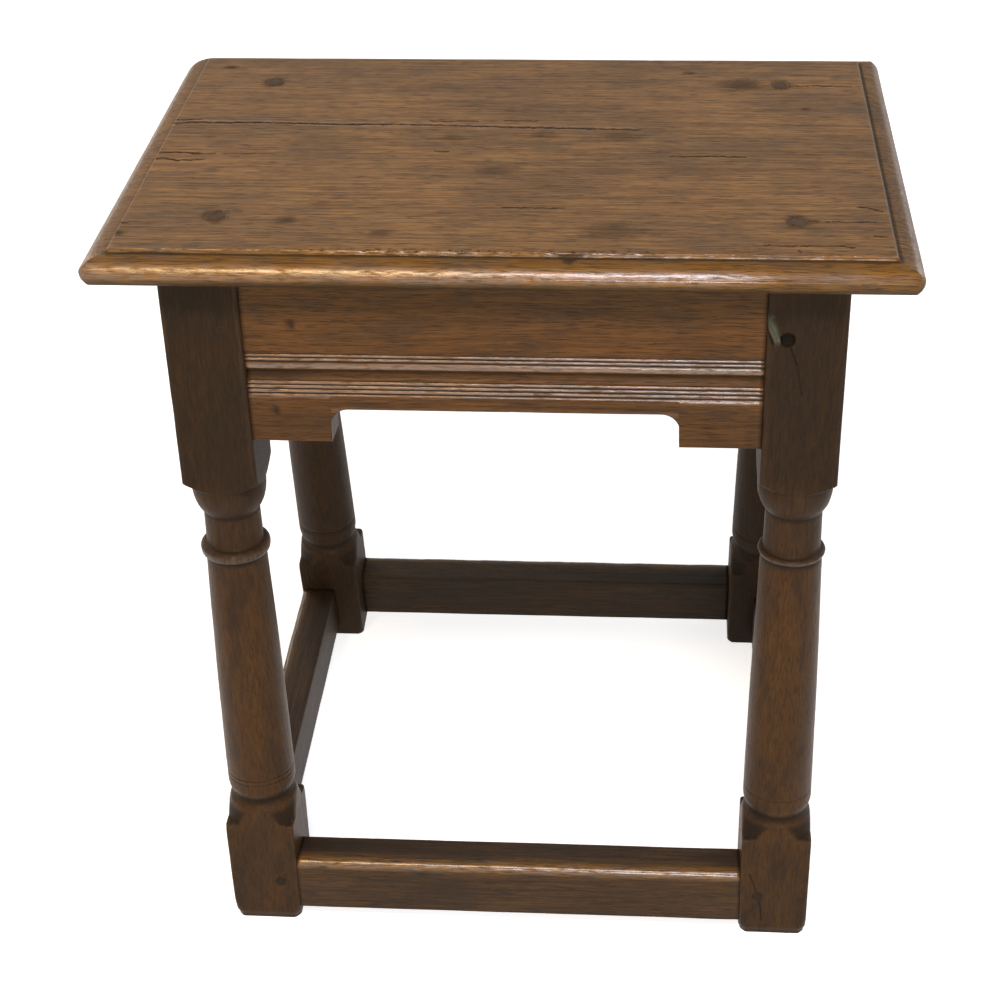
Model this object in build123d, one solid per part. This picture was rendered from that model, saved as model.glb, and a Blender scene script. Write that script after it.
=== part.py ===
from build123d import *
from dataclasses import dataclass
from math import cos, radians, sin, tan
import os

# Joint stool: a pegged oak frame of four turned legs, four frieze rails and four
# stretchers, with a moulded seat board pegged down on top.
# Millimetres. X runs along the front, Y from front to back, Z up, and the origin
# is on the floor under the middle of the seat.

# ---------------------------------------------------------------- driving dimensions
STOOL_HEIGHT = 525.0

SEAT_LENGTH = 483.0
SEAT_DEPTH = 311.0
SEAT_THICKNESS = 18.5
SEAT_MOULDING = 14.8        # width of the moulding worked round the seat's edge
SEAT_STEP = 2.3             # drop from the flat of the seat to the moulding
SEAT_NOSE = 8.2             # height of the widest line above the seat's underside
SEAT_NOSE_RADIUS = 6.0      # tight above the nose, then a flatter thumb up to the step
SEAT_NOSE_TURN = 62.0       # degrees
SEAT_UNDERCUT = 5.0         # how far the edge is rounded back underneath
SEAT_SPARE = 1.0            # the corners are rounded on an outline this far outside the nose
SEAT_CORNER = 6.4
SEAT_WORN_CORNER = 18.4     # the back left corner is worn well round

FRAME_TOP = STOOL_HEIGHT - SEAT_THICKNESS
FRAME_LENGTH = 405.5        # over the legs
FRAME_DEPTH = 263.8         # over the legs, just under the seat
SPLAY = 5.75                # degrees that the front and back lean in at the top
END_SPLAY = 0.35            # the ends barely lean

LEG_SIDE = 47.6
LEG_ARRIS = 1.0             # taken off the corners of the squares
CUP_HEIGHT = 27.5           # from the upper shoulder down to the cup's lip
COLUMN_MIDDLE = 196.0       # where the column's swelling is measured
FOOT_LEDGE = 84.0           # height of the lower square's top
FOOT_WEAR = 8.0             # height over which the foot's corners are worn away

RAIL_BOTTOM = 393.7
RAIL_THICKNESS = 24.0
RAIL_SETBACK = 0.8          # the rails' faces lie just behind the legs' faces
RUN_TOP = 453.4             # top of the run moulding on the rails
ARCH_RISE = 22.4
ARCH_SHARE = 0.68           # part of the rail's lower edge that the arch takes
ARCH_RADIUS = 11.0

STRETCHER_BOTTOM = 11.4
STRETCHER_TOP = 54.6
STRETCHER_THICKNESS = 27.8
STRETCHER_WEAR = 4.5        # radius worn on the upper outer arris by feet

TENON_LENGTH = 28.0
TENON_THICKNESS = 8.5
TENON_SETIN = 9.5           # from the leg's outer face to the tenon
TENON_RELISH = 8.0          # kept above and below a rail's tenon
STRETCHER_RELISH = 5.0
MORTICE_CLEARANCE = 2.0     # empty bottom of each mortice

PEG_RADIUS = 4.3
PEG_TAPER = 1.5             # degrees
PEG_REACH = 29.0            # how deep a peg goes behind the leg's face
PEG_PROUD = 0.5
PEG_FROM_SHOULDER = 12.5
RAIL_PEG_HEIGHTS = (425.0, 467.0)
STRETCHER_PEG_HEIGHTS = (35.3,)
SUNK_PEG_DEPTH = 4.0        # one peg has shrunk back into the front right leg

SEAT_PEG_RADIUS = 6.0
SEAT_PEG_REACH = 45.0       # from the seat's surface down into the leg
SEAT_PEG_X = 171.5
SEAT_PEG_Y = 98.5

OVERRUN = 15.0              # spare length that the floor and seat planes trim off
OUTSIDE = 36.0              # a radius clear of the square stock's corners


@dataclass(frozen=True)
class Turning:
    """What differs from leg to leg, because they were turned by eye: heights above the floor."""

    shoulder: float         # the upper square's lower end
    ring_top: float
    ring_foot: float
    ring_radius: float
    column_foot: float


TURNINGS = {
    ("front", "left"): Turning(360.5, 309.5, 299.0, 22.1, 114.0),
    ("front", "right"): Turning(367.5, 312.0, 306.0, 20.6, 111.0),
    ("back", "left"): Turning(363.0, 311.0, 302.0, 21.6, 112.5),
    ("back", "right"): Turning(362.0, 310.0, 301.5, 21.4, 113.0),
}


# ---------------------------------------------------------------- the frame's four sides
@dataclass(frozen=True)
class Side:
    """One side of the frame seen from outside: X along it, Y inwards, Z up from its top."""

    place: Location
    half_top: float         # from the middle to a leg, at the top
    flare: float            # how far each leg moves out for each mm down
    lean: float             # how far the side itself leans, in degrees

    def z(self, height):
        """A height above the floor, as a distance along this side's face."""
        return (height - FRAME_TOP) / cos(radians(self.lean))

    def shoulder(self, z):
        """Half the length of a rail or stretcher at z."""
        return self.half_top - self.flare * z


def make_sides():
    """The front and back lean in towards the top, and so, very little, do the ends."""
    splay, end_splay = radians(SPLAY), radians(END_SPLAY)
    front = Pos(0, -FRAME_DEPTH / 2, FRAME_TOP) * Rot(-SPLAY, 0, 0)
    end = Pos(0, -FRAME_LENGTH / 2, FRAME_TOP) * Rot(-END_SPLAY, 0, 0)
    long_half = FRAME_LENGTH / 2 - LEG_SIDE / cos(end_splay)
    short_half = FRAME_DEPTH / 2 - LEG_SIDE / cos(splay)
    long_flare = tan(end_splay) * cos(splay)
    short_flare = tan(splay) * cos(end_splay)
    return {
        "front": Side(front, long_half, long_flare, SPLAY),
        "back": Side(Rot(0, 0, 180) * front, long_half, long_flare, SPLAY),
        "left": Side(Rot(0, 0, -90) * end, short_half, short_flare, END_SPLAY),
        "right": Side(Rot(0, 0, 90) * end, short_half, short_flare, END_SPLAY),
    }


def between_seat_and_floor():
    """The slab that the ends of the legs and the tops of the rails are trimmed to."""
    return Pos(0, 0, FRAME_TOP / 2) * Box(2 * SEAT_LENGTH, 2 * SEAT_LENGTH, FRAME_TOP)


# ---------------------------------------------------------------- seat
def seat_section(half_width):
    """Half of the seat's section: flat, step, thumb moulding, nose and rounded underside."""
    field = half_width - SEAT_MOULDING
    moulding_top = SEAT_THICKNESS - SEAT_STEP
    nose = JernArc((half_width, SEAT_NOSE), (0, 1), SEAT_NOSE_RADIUS, SEAT_NOSE_TURN)
    edges = [
        Line((0, 0), (half_width - SEAT_UNDERCUT, 0)),
        TangentArc((half_width, SEAT_NOSE), (half_width - SEAT_UNDERCUT, 0), tangent=(0, -1)),
        nose,
        TangentArc(nose @ 1, (field, moulding_top), tangent=nose % 1),
        Line((field, moulding_top), (field, SEAT_THICKNESS)),
        Line((field, SEAT_THICKNESS), (0, SEAT_THICKNESS)),
        Line((0, SEAT_THICKNESS), (0, 0)),
    ]
    half = make_face(edges)
    return half + mirror(half, Plane.YZ)


def seat_outline():
    """The seat in plan, just clear of its nose, so that it takes off only the worn corners."""
    outline = Rectangle(SEAT_LENGTH + 2 * SEAT_SPARE, SEAT_DEPTH + 2 * SEAT_SPARE)
    outline = fillet([v for v in outline.vertices() if v.X < 0 < v.Y], SEAT_WORN_CORNER)
    return fillet([v for v in outline.vertices() if v.X > 0 or v.Y < 0], SEAT_CORNER)


def seat_board():
    """Two crossed mouldings meet in mitres at the corners."""
    along_x = extrude(Plane.YZ * seat_section(SEAT_DEPTH / 2), SEAT_LENGTH, both=True)
    along_y = extrude(Plane.XZ * seat_section(SEAT_LENGTH / 2), SEAT_DEPTH, both=True)
    plan = extrude(seat_outline(), SEAT_THICKNESS)
    return Pos(0, 0, FRAME_TOP) * (along_x & along_y & plan)


# ---------------------------------------------------------------- legs
def turned_profile(turning):
    """The lathe's cut, as a radius at each height: squares are left where it is OUTSIDE."""
    tilt = radians(SPLAY)

    def at(radius, height):
        return radius, (height - FRAME_TOP + LEG_SIDE / 2 * sin(tilt)) / cos(tilt)

    shoulder, ring_top, ring_foot = turning.shoulder, turning.ring_top, turning.ring_foot
    ring_shape = at(turning.ring_radius + 0.8, ring_foot + 0.6 * (ring_top - ring_foot))
    ring_edge = at(turning.ring_radius - 0.5, ring_foot)
    lip = shoulder - CUP_HEIGHT
    column_foot = turning.column_foot
    waist = column_foot - 9.5
    bead_top = column_foot - 14.5
    edges = [
        Line(at(0, FRAME_TOP + OVERRUN), at(OUTSIDE, FRAME_TOP + OVERRUN)),
        Line(at(OUTSIDE, FRAME_TOP + OVERRUN), at(OUTSIDE, shoulder + 1.7)),
        # sloping shoulder, then a cup whose widest part fades into the square's flats
        Line(at(OUTSIDE, shoulder + 1.7), at(23.7, shoulder - 7.6)),
        Bezier(at(23.7, shoulder - 7.6), at(23.7, lip + 6.5), at(18.6, lip)),
        Line(at(18.6, lip), at(17.8, lip - 1.4)),
        # neck, and a ring that is undercut below
        Line(at(17.8, lip - 1.4), at(18.2, ring_top)),
        Bezier(at(18.2, ring_top), ring_shape, ring_edge),
        Line(ring_edge, at(19.4, ring_foot - 1.0)),
        # column, swelling downwards, with a rounded foot
        ThreePointArc(at(19.4, ring_foot - 1.0), at(22.1, COLUMN_MIDDLE), at(23.3, column_foot)),
        ThreePointArc(at(23.3, column_foot), at(22.6, column_foot - 5.4), at(20.7, waist)),
        # cove and a fat bead that fades into the flats of the square foot
        Bezier(at(20.7, waist), at(20.7, bead_top + 1.6), at(22.2, bead_top)),
        Bezier(at(22.2, bead_top), at(23.3, bead_top - 1.2), at(23.7, bead_top - 3.0)),
        Line(at(23.7, bead_top - 3.0), at(27.0, FOOT_LEDGE)),
        Line(at(27.0, FOOT_LEDGE), at(OUTSIDE, FOOT_LEDGE - 1.0)),
        Line(at(OUTSIDE, FOOT_LEDGE - 1.0), at(OUTSIDE, FOOT_WEAR + 3.0)),
        # corners of the foot worn away
        Line(at(OUTSIDE, FOOT_WEAR + 3.0), at(29.6, 0)),
        Line(at(29.6, 0), at(29.6, -OVERRUN)),
        Line(at(29.6, -OVERRUN), at(0, -OVERRUN)),
        Line(at(0, -OVERRUN), at(0, FRAME_TOP + OVERRUN)),
    ]
    return make_face(edges)


def turned_leg(turning):
    """Square stock turned on a lathe: what both the square and the lathe's cut leave."""
    square = Rectangle(LEG_SIDE, LEG_SIDE)
    square = chamfer(square.vertices(), LEG_ARRIS)
    length = FRAME_TOP + 3 * OVERRUN
    stock = Pos(0, 0, 2 * OVERRUN) * extrude(square, -length)
    turned = revolve(Plane.XZ * turned_profile(turning), Axis.Z)
    return stock & turned


def arris_chip(side):
    """The sliver that broke off a front leg between its inner arris and its sunk peg."""
    section = Polyline((0, 0), (4.2, 0), (0, 2.4), close=True)
    sliver = extrude(make_face(section), 19.0)
    foot = side.z(464.0)
    return Pos(side.shoulder(foot) + 4.6, 0, foot) * Rot(0, -22, 0) * sliver


# ---------------------------------------------------------------- rails and stretchers
def run_moulding(z_top, face):
    """The run moulding as a chain of edges: two reeds, a thumb, a hollow and three reeds."""
    quirk = face + 0.7
    deep = face + 2.6
    edges = []
    z = z_top

    def reed(height):
        nonlocal z
        edges.append(ThreePointArc((quirk, z), (face, z - height / 2), (quirk, z - height)))
        edges.append(Line((quirk, z - height), (quirk, z - height - 0.6)))
        z -= height + 0.6

    edges.append(Line((face, z), (quirk, z - 0.5)))
    z -= 0.5
    reed(2.0)
    reed(2.0)
    edges.append(ThreePointArc((quirk, z), (face, z - 2.4), (deep, z - 6.4)))
    z -= 6.4
    edges.append(ThreePointArc((deep, z), (deep + 0.5, z - 3.6), (quirk, z - 6.2)))
    z -= 6.2
    for height in (2.3, 2.2, 2.4):
        reed(height)
    edges.append(Line((quirk, z), (face, z - 0.5)))
    return edges, z - 0.5


def rail_section(side):
    """Section across a frieze rail, with the run moulding on its outer face."""
    top, bottom = OVERRUN, side.z(RAIL_BOTTOM)
    back = RAIL_SETBACK + RAIL_THICKNESS
    run_top = side.z(RUN_TOP)
    run, run_foot = run_moulding(run_top, RAIL_SETBACK)
    edges = [
        Line((RAIL_SETBACK, top), (RAIL_SETBACK, run_top)),
        *run,
        Line((RAIL_SETBACK, run_foot), (RAIL_SETBACK, bottom)),
        Line((RAIL_SETBACK, bottom), (back, bottom)),
        Line((back, bottom), (back, top)),
        Line((back, top), (RAIL_SETBACK, top)),
    ]
    return make_face(edges)


def between_shoulders(side, z_low, z_high):
    """Outline of a rail or stretcher seen from outside, cut to the legs' slope."""
    low, high = side.shoulder(z_low), side.shoulder(z_high)
    return make_face(Polyline((-low, z_low), (low, z_low), (high, z_high), (-high, z_high), close=True))


def arch(side):
    """The flat arch cut from a rail's lower edge, with rounded upper corners."""
    bottom = side.z(RAIL_BOTTOM)
    width = 2 * ARCH_SHARE * side.shoulder(bottom)
    cut = Rectangle(width, 2 * ARCH_RISE)
    cut = fillet([v for v in cut.vertices() if v.Y > 0], ARCH_RADIUS)
    return Pos(0, bottom) * cut


def tenons(side, z_low, z_high, length):
    """Both tenons of a rail or stretcher, or with a greater length their mortices."""
    root = 2.0
    low, high = side.shoulder(z_low), side.shoulder(z_high)
    outline = Polyline(
        (low - root, z_low), (low + length, z_low), (high + length, z_high), (high - root, z_high),
        close=True,
    )
    plane = Plane.XZ.offset(-TENON_SETIN)
    tenon = extrude(plane * make_face(outline), -TENON_THICKNESS)
    return tenon + mirror(tenon, Plane.YZ)


def rail_tenons(side, length):
    """A frieze rail's tenons, or its mortices."""
    return tenons(side, side.z(RAIL_BOTTOM) + TENON_RELISH, -TENON_RELISH, length)


def stretcher_tenons(side, length):
    """A stretcher's tenons, or its mortices."""
    z_low = side.z(STRETCHER_BOTTOM) + STRETCHER_RELISH
    z_high = side.z(STRETCHER_TOP) - STRETCHER_RELISH
    return tenons(side, z_low, z_high, length)


def frieze_rail(side):
    """A moulded rail with an arched lower edge and a tenon at each end."""
    outline = between_shoulders(side, side.z(RAIL_BOTTOM), OVERRUN) - arch(side)
    face = extrude(Plane.XZ * outline, -2 * RAIL_THICKNESS)
    moulded = extrude(Plane.YZ * rail_section(side), SEAT_LENGTH / 2, both=True)
    return (face & moulded) + rail_tenons(side, TENON_LENGTH)


def stretcher(side):
    """A plain stretcher, its upper outer arris worn round, with a tenon at each end."""
    z_low, z_high = side.z(STRETCHER_BOTTOM), side.z(STRETCHER_TOP)
    section = Pos(STRETCHER_THICKNESS / 2, (z_low + z_high) / 2) * Rectangle(
        STRETCHER_THICKNESS, z_high - z_low
    )
    worn = section.vertices().group_by(Axis.Y)[-1].sort_by(Axis.X)[0]
    section = fillet(worn, STRETCHER_WEAR)
    bar = extrude(Plane.YZ * section, SEAT_LENGTH / 2, both=True)
    face = extrude(Plane.XZ * between_shoulders(side, z_low, z_high), -2 * STRETCHER_THICKNESS)
    return (face & bar) + stretcher_tenons(side, TENON_LENGTH)


# ---------------------------------------------------------------- pegs
def peg(radius, length):
    """A riven peg shaved to eight sides, tapering along +Z."""
    return extrude(RegularPolygon(radius, 8), length, taper=PEG_TAPER)


def side_pegs(side, heights):
    """The pegs that hold one rail or stretcher, each end in turn, from the lowest up."""
    pegs = []
    for end in (-1, 1):
        for height in heights:
            z = side.z(height)
            x = end * (side.shoulder(z) + PEG_FROM_SHOULDER)
            pin = peg(PEG_RADIUS, PEG_REACH + PEG_PROUD)
            pegs.append(Pos(x, -PEG_PROUD, z) * Rot(-90, 0, 0) * pin)
    return pegs


def sink(pin):
    """The same peg, shrunk back below the leg's face."""
    front = Box(4 * PEG_RADIUS, 2 * SUNK_PEG_DEPTH, 4 * PEG_RADIUS)
    middle = pin.bounding_box().center()
    return pin - Pos(middle.X, 0, middle.Z) * front


def seat_pegs():
    """Four stout pegs through the seat into the tops of the legs, trimmed flush."""
    pin = peg(SEAT_PEG_RADIUS, SEAT_PEG_REACH)
    spots = [(x, y) for x in (-SEAT_PEG_X, SEAT_PEG_X) for y in (-SEAT_PEG_Y, SEAT_PEG_Y)]
    return [Pos(x, y, STOOL_HEIGHT) * Rot(180, 0, 0) * pin for x, y in spots]


# ---------------------------------------------------------------- assembly
def build():
    """Every piece in its place, as a dict of node name to shape."""
    sides = make_sides()
    slab = between_seat_and_floor()
    nodes = {}
    cuts_in_legs = []

    for name, side in sides.items():
        rail_pins = side_pegs(side, RAIL_PEG_HEIGHTS)
        foot_pins = side_pegs(side, STRETCHER_PEG_HEIGHTS)
        rail = frieze_rail(side) - rail_pins
        nodes[f"rail_{name}"] = (side.place * rail) & slab
        nodes[f"stretcher_{name}"] = side.place * (stretcher(side) - foot_pins)

        mortice = TENON_LENGTH + MORTICE_CLEARANCE
        holes = [rail_tenons(side, mortice), stretcher_tenons(side, mortice), *rail_pins, *foot_pins]
        if name == "front":
            holes.append(arris_chip(side))
            rail_pins[-1] = sink(rail_pins[-1])
        cuts_in_legs += [side.place * hole for hole in holes]
        nodes[f"pegs_rail_{name}"] = Compound([side.place * pin for pin in rail_pins])
        nodes[f"pegs_stretcher_{name}"] = Compound([side.place * pin for pin in foot_pins])

    top_pins = seat_pegs()
    nodes["pegs_seat"] = Compound(top_pins)
    nodes["seat_board"] = seat_board() - top_pins

    for (end, hand), turning in TURNINGS.items():
        # the back frame is the front one turned round, so its left is at +x
        direction = -1 if (end == "front") == (hand == "left") else 1
        top = Pos(direction * (FRAME_LENGTH - LEG_SIDE) / 2, LEG_SIDE / 2, 0)
        leg = sides[end].place * top * Rot(0, -direction * END_SPLAY, 0) * turned_leg(turning)
        nodes[f"leg_{end}_{hand}"] = (leg & slab) - cuts_in_legs - top_pins
    return nodes


if __name__ == "__main__":
    os.makedirs("parts", exist_ok=True)
    for node, shape in build().items():
        export_step(shape, f"parts/{node}.step")
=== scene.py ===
import logging
import math
from collections.abc import Callable, Iterable, Sequence
from dataclasses import dataclass, field, replace
from enum import Enum
from functools import cached_property
from typing import ClassVar

import bmesh
import bpy
from bmesh.types import BMEdge, BMesh, BMVert
from mathutils import Matrix, Vector, noise


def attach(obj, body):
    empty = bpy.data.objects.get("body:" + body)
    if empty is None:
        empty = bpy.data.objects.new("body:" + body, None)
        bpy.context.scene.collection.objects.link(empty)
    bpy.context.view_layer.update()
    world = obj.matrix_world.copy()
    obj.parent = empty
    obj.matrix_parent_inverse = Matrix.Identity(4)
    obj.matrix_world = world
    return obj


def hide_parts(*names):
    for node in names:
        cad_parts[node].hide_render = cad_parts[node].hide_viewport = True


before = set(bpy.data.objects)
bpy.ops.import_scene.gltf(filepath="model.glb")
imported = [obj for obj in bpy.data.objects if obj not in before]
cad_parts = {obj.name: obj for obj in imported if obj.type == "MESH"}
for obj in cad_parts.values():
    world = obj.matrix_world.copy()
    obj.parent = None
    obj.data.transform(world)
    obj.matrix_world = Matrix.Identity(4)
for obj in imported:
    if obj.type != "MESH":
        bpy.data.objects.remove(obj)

# A pegged oak joint stool of the seventeenth century, with four centuries of wax, dirt and
# wear on it. Sizes here are millimetres; a mesh is scaled to metres when it is handed over.

LOG = logging.getLogger("joint_stool")
BODY = "root"
METRE = 1000.0

STOOL_HEIGHT = 525.0
SEAT_THICKNESS = 18.5
FRAME_TOP = STOOL_HEIGHT - SEAT_THICKNESS
FRAME_LENGTH = 405.5        # over the legs
FRAME_DEPTH = 263.8         # over the legs, just under the seat
SPLAY = math.radians(5.75)  # the front and back lean in at the top by this
END_SPLAY = math.radians(0.35)  # and the ends, very little
LEG_SIDE = 47.6
SEAT_PEG_SPOTS = [(x, y) for x in (-171.5, 171.5) for y in (-98.5, 98.5)]
CUP_HEIGHT = 27.5           # from a leg's upper shoulder down to the cup's lip
COLUMN_MIDDLE = 196.0
FOOT_LEDGE = 84.0           # height of the lower square's top
OUTSIDE = 36.0              # a radius clear of the square stock's corners
RAIL_PEG_HEIGHTS = (425.0, 467.0)
STRETCHER_PEG_HEIGHT = 35.3
PEG_FROM_SHOULDER = 12.5
PEG_RADIUS = 4.3
PEG_LENGTH = 29.5
PEG_PROUD = 0.5
PEG_TAPER = math.radians(1.5)
SUNK_PEG_DEPTH = 4.0        # the upper peg of the front right leg has shrunk back by this
SEAT_PEG_RADIUS = 6.0
SEAT_PEG_LENGTH = 45.0
MOST_SIDES = 8              # a face with more sides than this is a flat cap

Point2 = tuple[float, float]
Sockets = dict[str, bpy.types.NodeSocket]


# ------------------------------------------------------------------ small helpers
def ease(value: float, low: float, high: float) -> float:
    """Rises smoothly from 0 at low to 1 at high, or falls if low is the higher.

    Args:
        value: the number to place.
        low: where the result is 0.
        high: where the result is 1.

    Returns:
        A share from 0 to 1.
    """
    share = min(max((value - low) / (high - low), 0.0), 1.0)
    return share * share * (3.0 - 2.0 * share)


def soft_min(a: float, b: float, soft: float) -> float:
    """The lesser of two radii, with the edge where they cross rubbed round.

    Args:
        a: one radius.
        b: the other radius.
        soft: width over which the edge is rounded.

    Returns:
        The rounded minimum.
    """
    near = max(soft - abs(a - b), 0.0) / soft
    return min(a, b) - near * near * soft / 4.0


def wander(x: float, y: float = 0.0, z: float = 0.0) -> float:
    """Smooth noise from about -1 to 1, the same in every run."""
    return noise.noise(Vector((x, y, z)))


def next_ring(bm: BMesh, ring: list[BMEdge]) -> tuple[list[BMVert], list[BMEdge]]:
    """Extrudes a closed ring of edges where it stands.

    Args:
        bm: the mesh.
        ring: the edges of the open end.

    Returns:
        The vertices and the edges of the new open end.
    """
    grown = bmesh.ops.extrude_edge_only(bm, edges=ring)["geom"]
    verts = [item for item in grown if isinstance(item, BMVert)]
    fresh = set(verts)
    edges = [item for item in grown if isinstance(item, BMEdge) and fresh.issuperset(item.verts)]
    return verts, edges


def refine(bm: BMesh, wanted: Callable[[Vector], bool], cuts: int) -> None:
    """Divides the faces whose middle is wanted, so that fine damage can be cut there.

    Args:
        bm: the mesh.
        wanted: says whether a face's middle lies in the damaged place.
        cuts: new vertices on each edge.
    """
    faces = [face for face in bm.faces if len(face.verts) == 4 and wanted(face.calc_center_median())]
    edges = list({edge for face in faces for edge in face.edges})
    if edges:
        bmesh.ops.subdivide_edges(bm, edges=edges, cuts=cuts, use_grid_fill=True)


class Pen:
    """Draws a section or a lathe's cut as short steps, from lines and arcs."""

    def __init__(self, start: Point2) -> None:
        """Puts the pen down at start."""
        self.points: list[Point2] = [start]

    def line(self, end: Point2, steps: int = 1) -> "Pen":
        """Draws a straight line.

        Args:
            end: where it ends.
            steps: how many steps it has.

        Returns:
            The pen.
        """
        x0, y0 = self.points[-1]
        for k in range(1, steps + 1):
            share = k / steps
            self.points.append((x0 + (end[0] - x0) * share, y0 + (end[1] - y0) * share))
        return self

    def bend(self, pull: Point2, end: Point2, steps: int) -> "Pen":
        """Draws a curve that leaves towards pull and arrives from it.

        Args:
            pull: where the tangents at both ends meet.
            end: where it ends.
            steps: how many steps it has.

        Returns:
            The pen.
        """
        start = self.points[-1]
        for k in range(1, steps + 1):
            u = k / steps
            a, b, c = (1 - u) ** 2, 2 * u * (1 - u), u * u
            self.points.append(tuple(a * start[i] + b * pull[i] + c * end[i] for i in (0, 1)))
        return self

    def arc(self, via: Point2, end: Point2, steps: int) -> "Pen":
        """Draws the arc that passes through via.

        Args:
            via: a point on the arc.
            end: where it ends.
            steps: how many steps it has.

        Returns:
            The pen.
        """
        (ax, ay), (bx, by), (cx, cy) = self.points[-1], via, end
        double = 2.0 * (ax * (by - cy) + bx * (cy - ay) + cx * (ay - by))
        a2, b2, c2 = ax * ax + ay * ay, bx * bx + by * by, cx * cx + cy * cy
        ox = (a2 * (by - cy) + b2 * (cy - ay) + c2 * (ay - by)) / double
        oy = (a2 * (cx - bx) + b2 * (ax - cx) + c2 * (bx - ax)) / double
        radius = math.hypot(ax - ox, ay - oy)
        first = math.atan2(ay - oy, ax - ox)
        full = math.tau
        to_via = (math.atan2(by - oy, bx - ox) - first) % full
        sweep = (math.atan2(cy - oy, cx - ox) - first) % full
        if to_via > sweep:
            sweep -= full
        for k in range(1, steps + 1):
            angle = first + sweep * k / steps
            self.points.append((ox + radius * math.cos(angle), oy + radius * math.sin(angle)))
        return self


class Marks:
    """The four things that age has done to a surface, with the painted shade laid among them, kept on
    a mesh's vertices for its finish.

    worn is rubbed wood, the grime mark is packed dirt and, under edges, in hollows and on the back
    parts, painted shade, polish is built-up wax, and bare is a fresh break.
    """

    NAMES = ("worn", "grime", "polish", "bare")

    def __init__(self, bm: BMesh) -> None:
        """Adds the layers to a mesh."""
        self.layers = {name: bm.verts.layers.float.new(name) for name in self.NAMES}

    def put(self, vert: BMVert, **amounts: float) -> None:
        """Sets some of the marks on a vertex."""
        for name, amount in amounts.items():
            vert[self.layers[name]] = amount

    def deepen(self, vert: BMVert, **amounts: float) -> None:
        """Raises some of the marks on a vertex, and never lowers them."""
        for name, amount in amounts.items():
            vert[self.layers[name]] = max(vert[self.layers[name]], min(amount, 1.0))


@dataclass(frozen=True)
class Weather:
    """How uneven hand work and long use have left a surface, all of it sunk below the true face."""

    seed: float
    swell: float = 0.30         # slow unevenness of hand planing
    swell_size: float = 42.0
    nick: float = 0.7           # small dents
    nick_size: float = 5.0
    nick_level: float = 0.42    # noise below this leaves no dent

    def depth(self, place: Vector) -> float:
        """How far the surface lies below the true face.

        Args:
            place: a point of the surface, in millimetres.

        Returns:
            The depth.
        """
        slow = 0.5 + 0.5 * noise.noise(place / self.swell_size + Vector((self.seed, 0, 0)))
        small = noise.noise(place / self.nick_size + Vector((0, self.seed, 0))) - self.nick_level
        return self.swell * slow + self.nick * max(small, 0.0)

    def work(self, bm: BMesh) -> None:
        """Sinks every vertex by its depth, along its normal.

        Args:
            bm: the mesh, in millimetres.
        """
        bm.normal_update()
        for vert in bm.verts:
            vert.co -= vert.normal * self.depth(vert.co)


# ------------------------------------------------------------------ the frame's four sides
class Face(Enum):
    """The four sides of the stool, each with its turn about the upright axis, in degrees."""

    FRONT = 0
    BACK = 180
    LEFT = -90
    RIGHT = 90

    @property
    def word(self) -> str:
        """The side's name in the names of pieces."""
        return self.name.lower()


@dataclass(frozen=True)
class Side:
    """One side of the frame from outside: X along it, Y inwards, Z up from the seat's underside."""

    face: Face

    @property
    def is_long(self) -> bool:
        """Whether this is the front or the back."""
        return self.face in (Face.FRONT, Face.BACK)

    @property
    def lean(self) -> float:
        """How far this side leans in, in radians."""
        return SPLAY if self.is_long else END_SPLAY

    @property
    def half_top(self) -> float:
        """Half the length of a rail at its top.

        Returns:
            The length from the middle of the side to a leg.
        """
        if self.is_long:
            return FRAME_LENGTH / 2 - LEG_SIDE / math.cos(END_SPLAY)
        return FRAME_DEPTH / 2 - LEG_SIDE / math.cos(SPLAY)

    @property
    def flare(self) -> float:
        """How fast the legs spread along this side.

        Returns:
            How far each leg moves out for each millimetre down the side's face.
        """
        if self.is_long:
            return math.tan(END_SPLAY) * math.cos(SPLAY)
        return math.tan(SPLAY) * math.cos(END_SPLAY)

    @property
    def place(self) -> Matrix:
        """Where this side stands.

        Returns:
            The transform from this side's own millimetres to the stool's.
        """
        out = FRAME_DEPTH / 2 if self.is_long else FRAME_LENGTH / 2
        turn = Matrix.Rotation(math.radians(self.face.value), 4, "Z")
        lean = Matrix.Rotation(-self.lean, 4, "X")
        return turn @ Matrix.Translation((0, -out, FRAME_TOP)) @ lean

    def z(self, height: float) -> float:
        """A height above the floor, measured down this side's face."""
        return (height - FRAME_TOP) / math.cos(self.lean)

    def shoulder(self, z: float) -> float:
        """Half the length of a rail or stretcher at z."""
        return self.half_top - self.flare * z


# ------------------------------------------------------------------ finishes
def linear(code: str) -> tuple[float, float, float, float]:
    """Turns an sRGB hex colour into linear light.

    Args:
        code: the colour, such as "7A5C3E".

    Returns:
        Red, green, blue and an alpha of 1.
    """
    parts = [int(code[k:k + 2], 16) / 255.0 for k in (0, 2, 4)]
    light = [p / 12.92 if p <= 0.04045 else ((p + 0.055) / 1.055) ** 2.4 for p in parts]
    return light[0], light[1], light[2], 1.0


def add_node(
    tree: bpy.types.NodeTree,
    kind: str,
    inputs: dict[int | str, object] | None = None,
    **settings: object,
) -> bpy.types.Node:
    """Adds a node with its settings, and fills its inputs with values or links.

    Args:
        tree: the material's node tree.
        kind: the node's type.
        inputs: a value or another node's output for each input, by name or number.
        **settings: the node's own properties.

    Returns:
        The node.
    """
    node = tree.nodes.new(kind)
    for name, value in settings.items():
        setattr(node, name, value)
    for key, value in (inputs or {}).items():
        if isinstance(value, bpy.types.NodeSocket):
            tree.links.new(value, node.inputs[key])
        else:
            node.inputs[key].default_value = value
    return node


class Grain(Enum):
    """Which way a piece's grain runs, as the turn in degrees that lays it along X."""

    LENGTHWAYS = (0, 0, 0)
    FRONT_TO_BACK = (0, 0, -90)
    UPRIGHT = (0, 90, 0)


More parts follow.
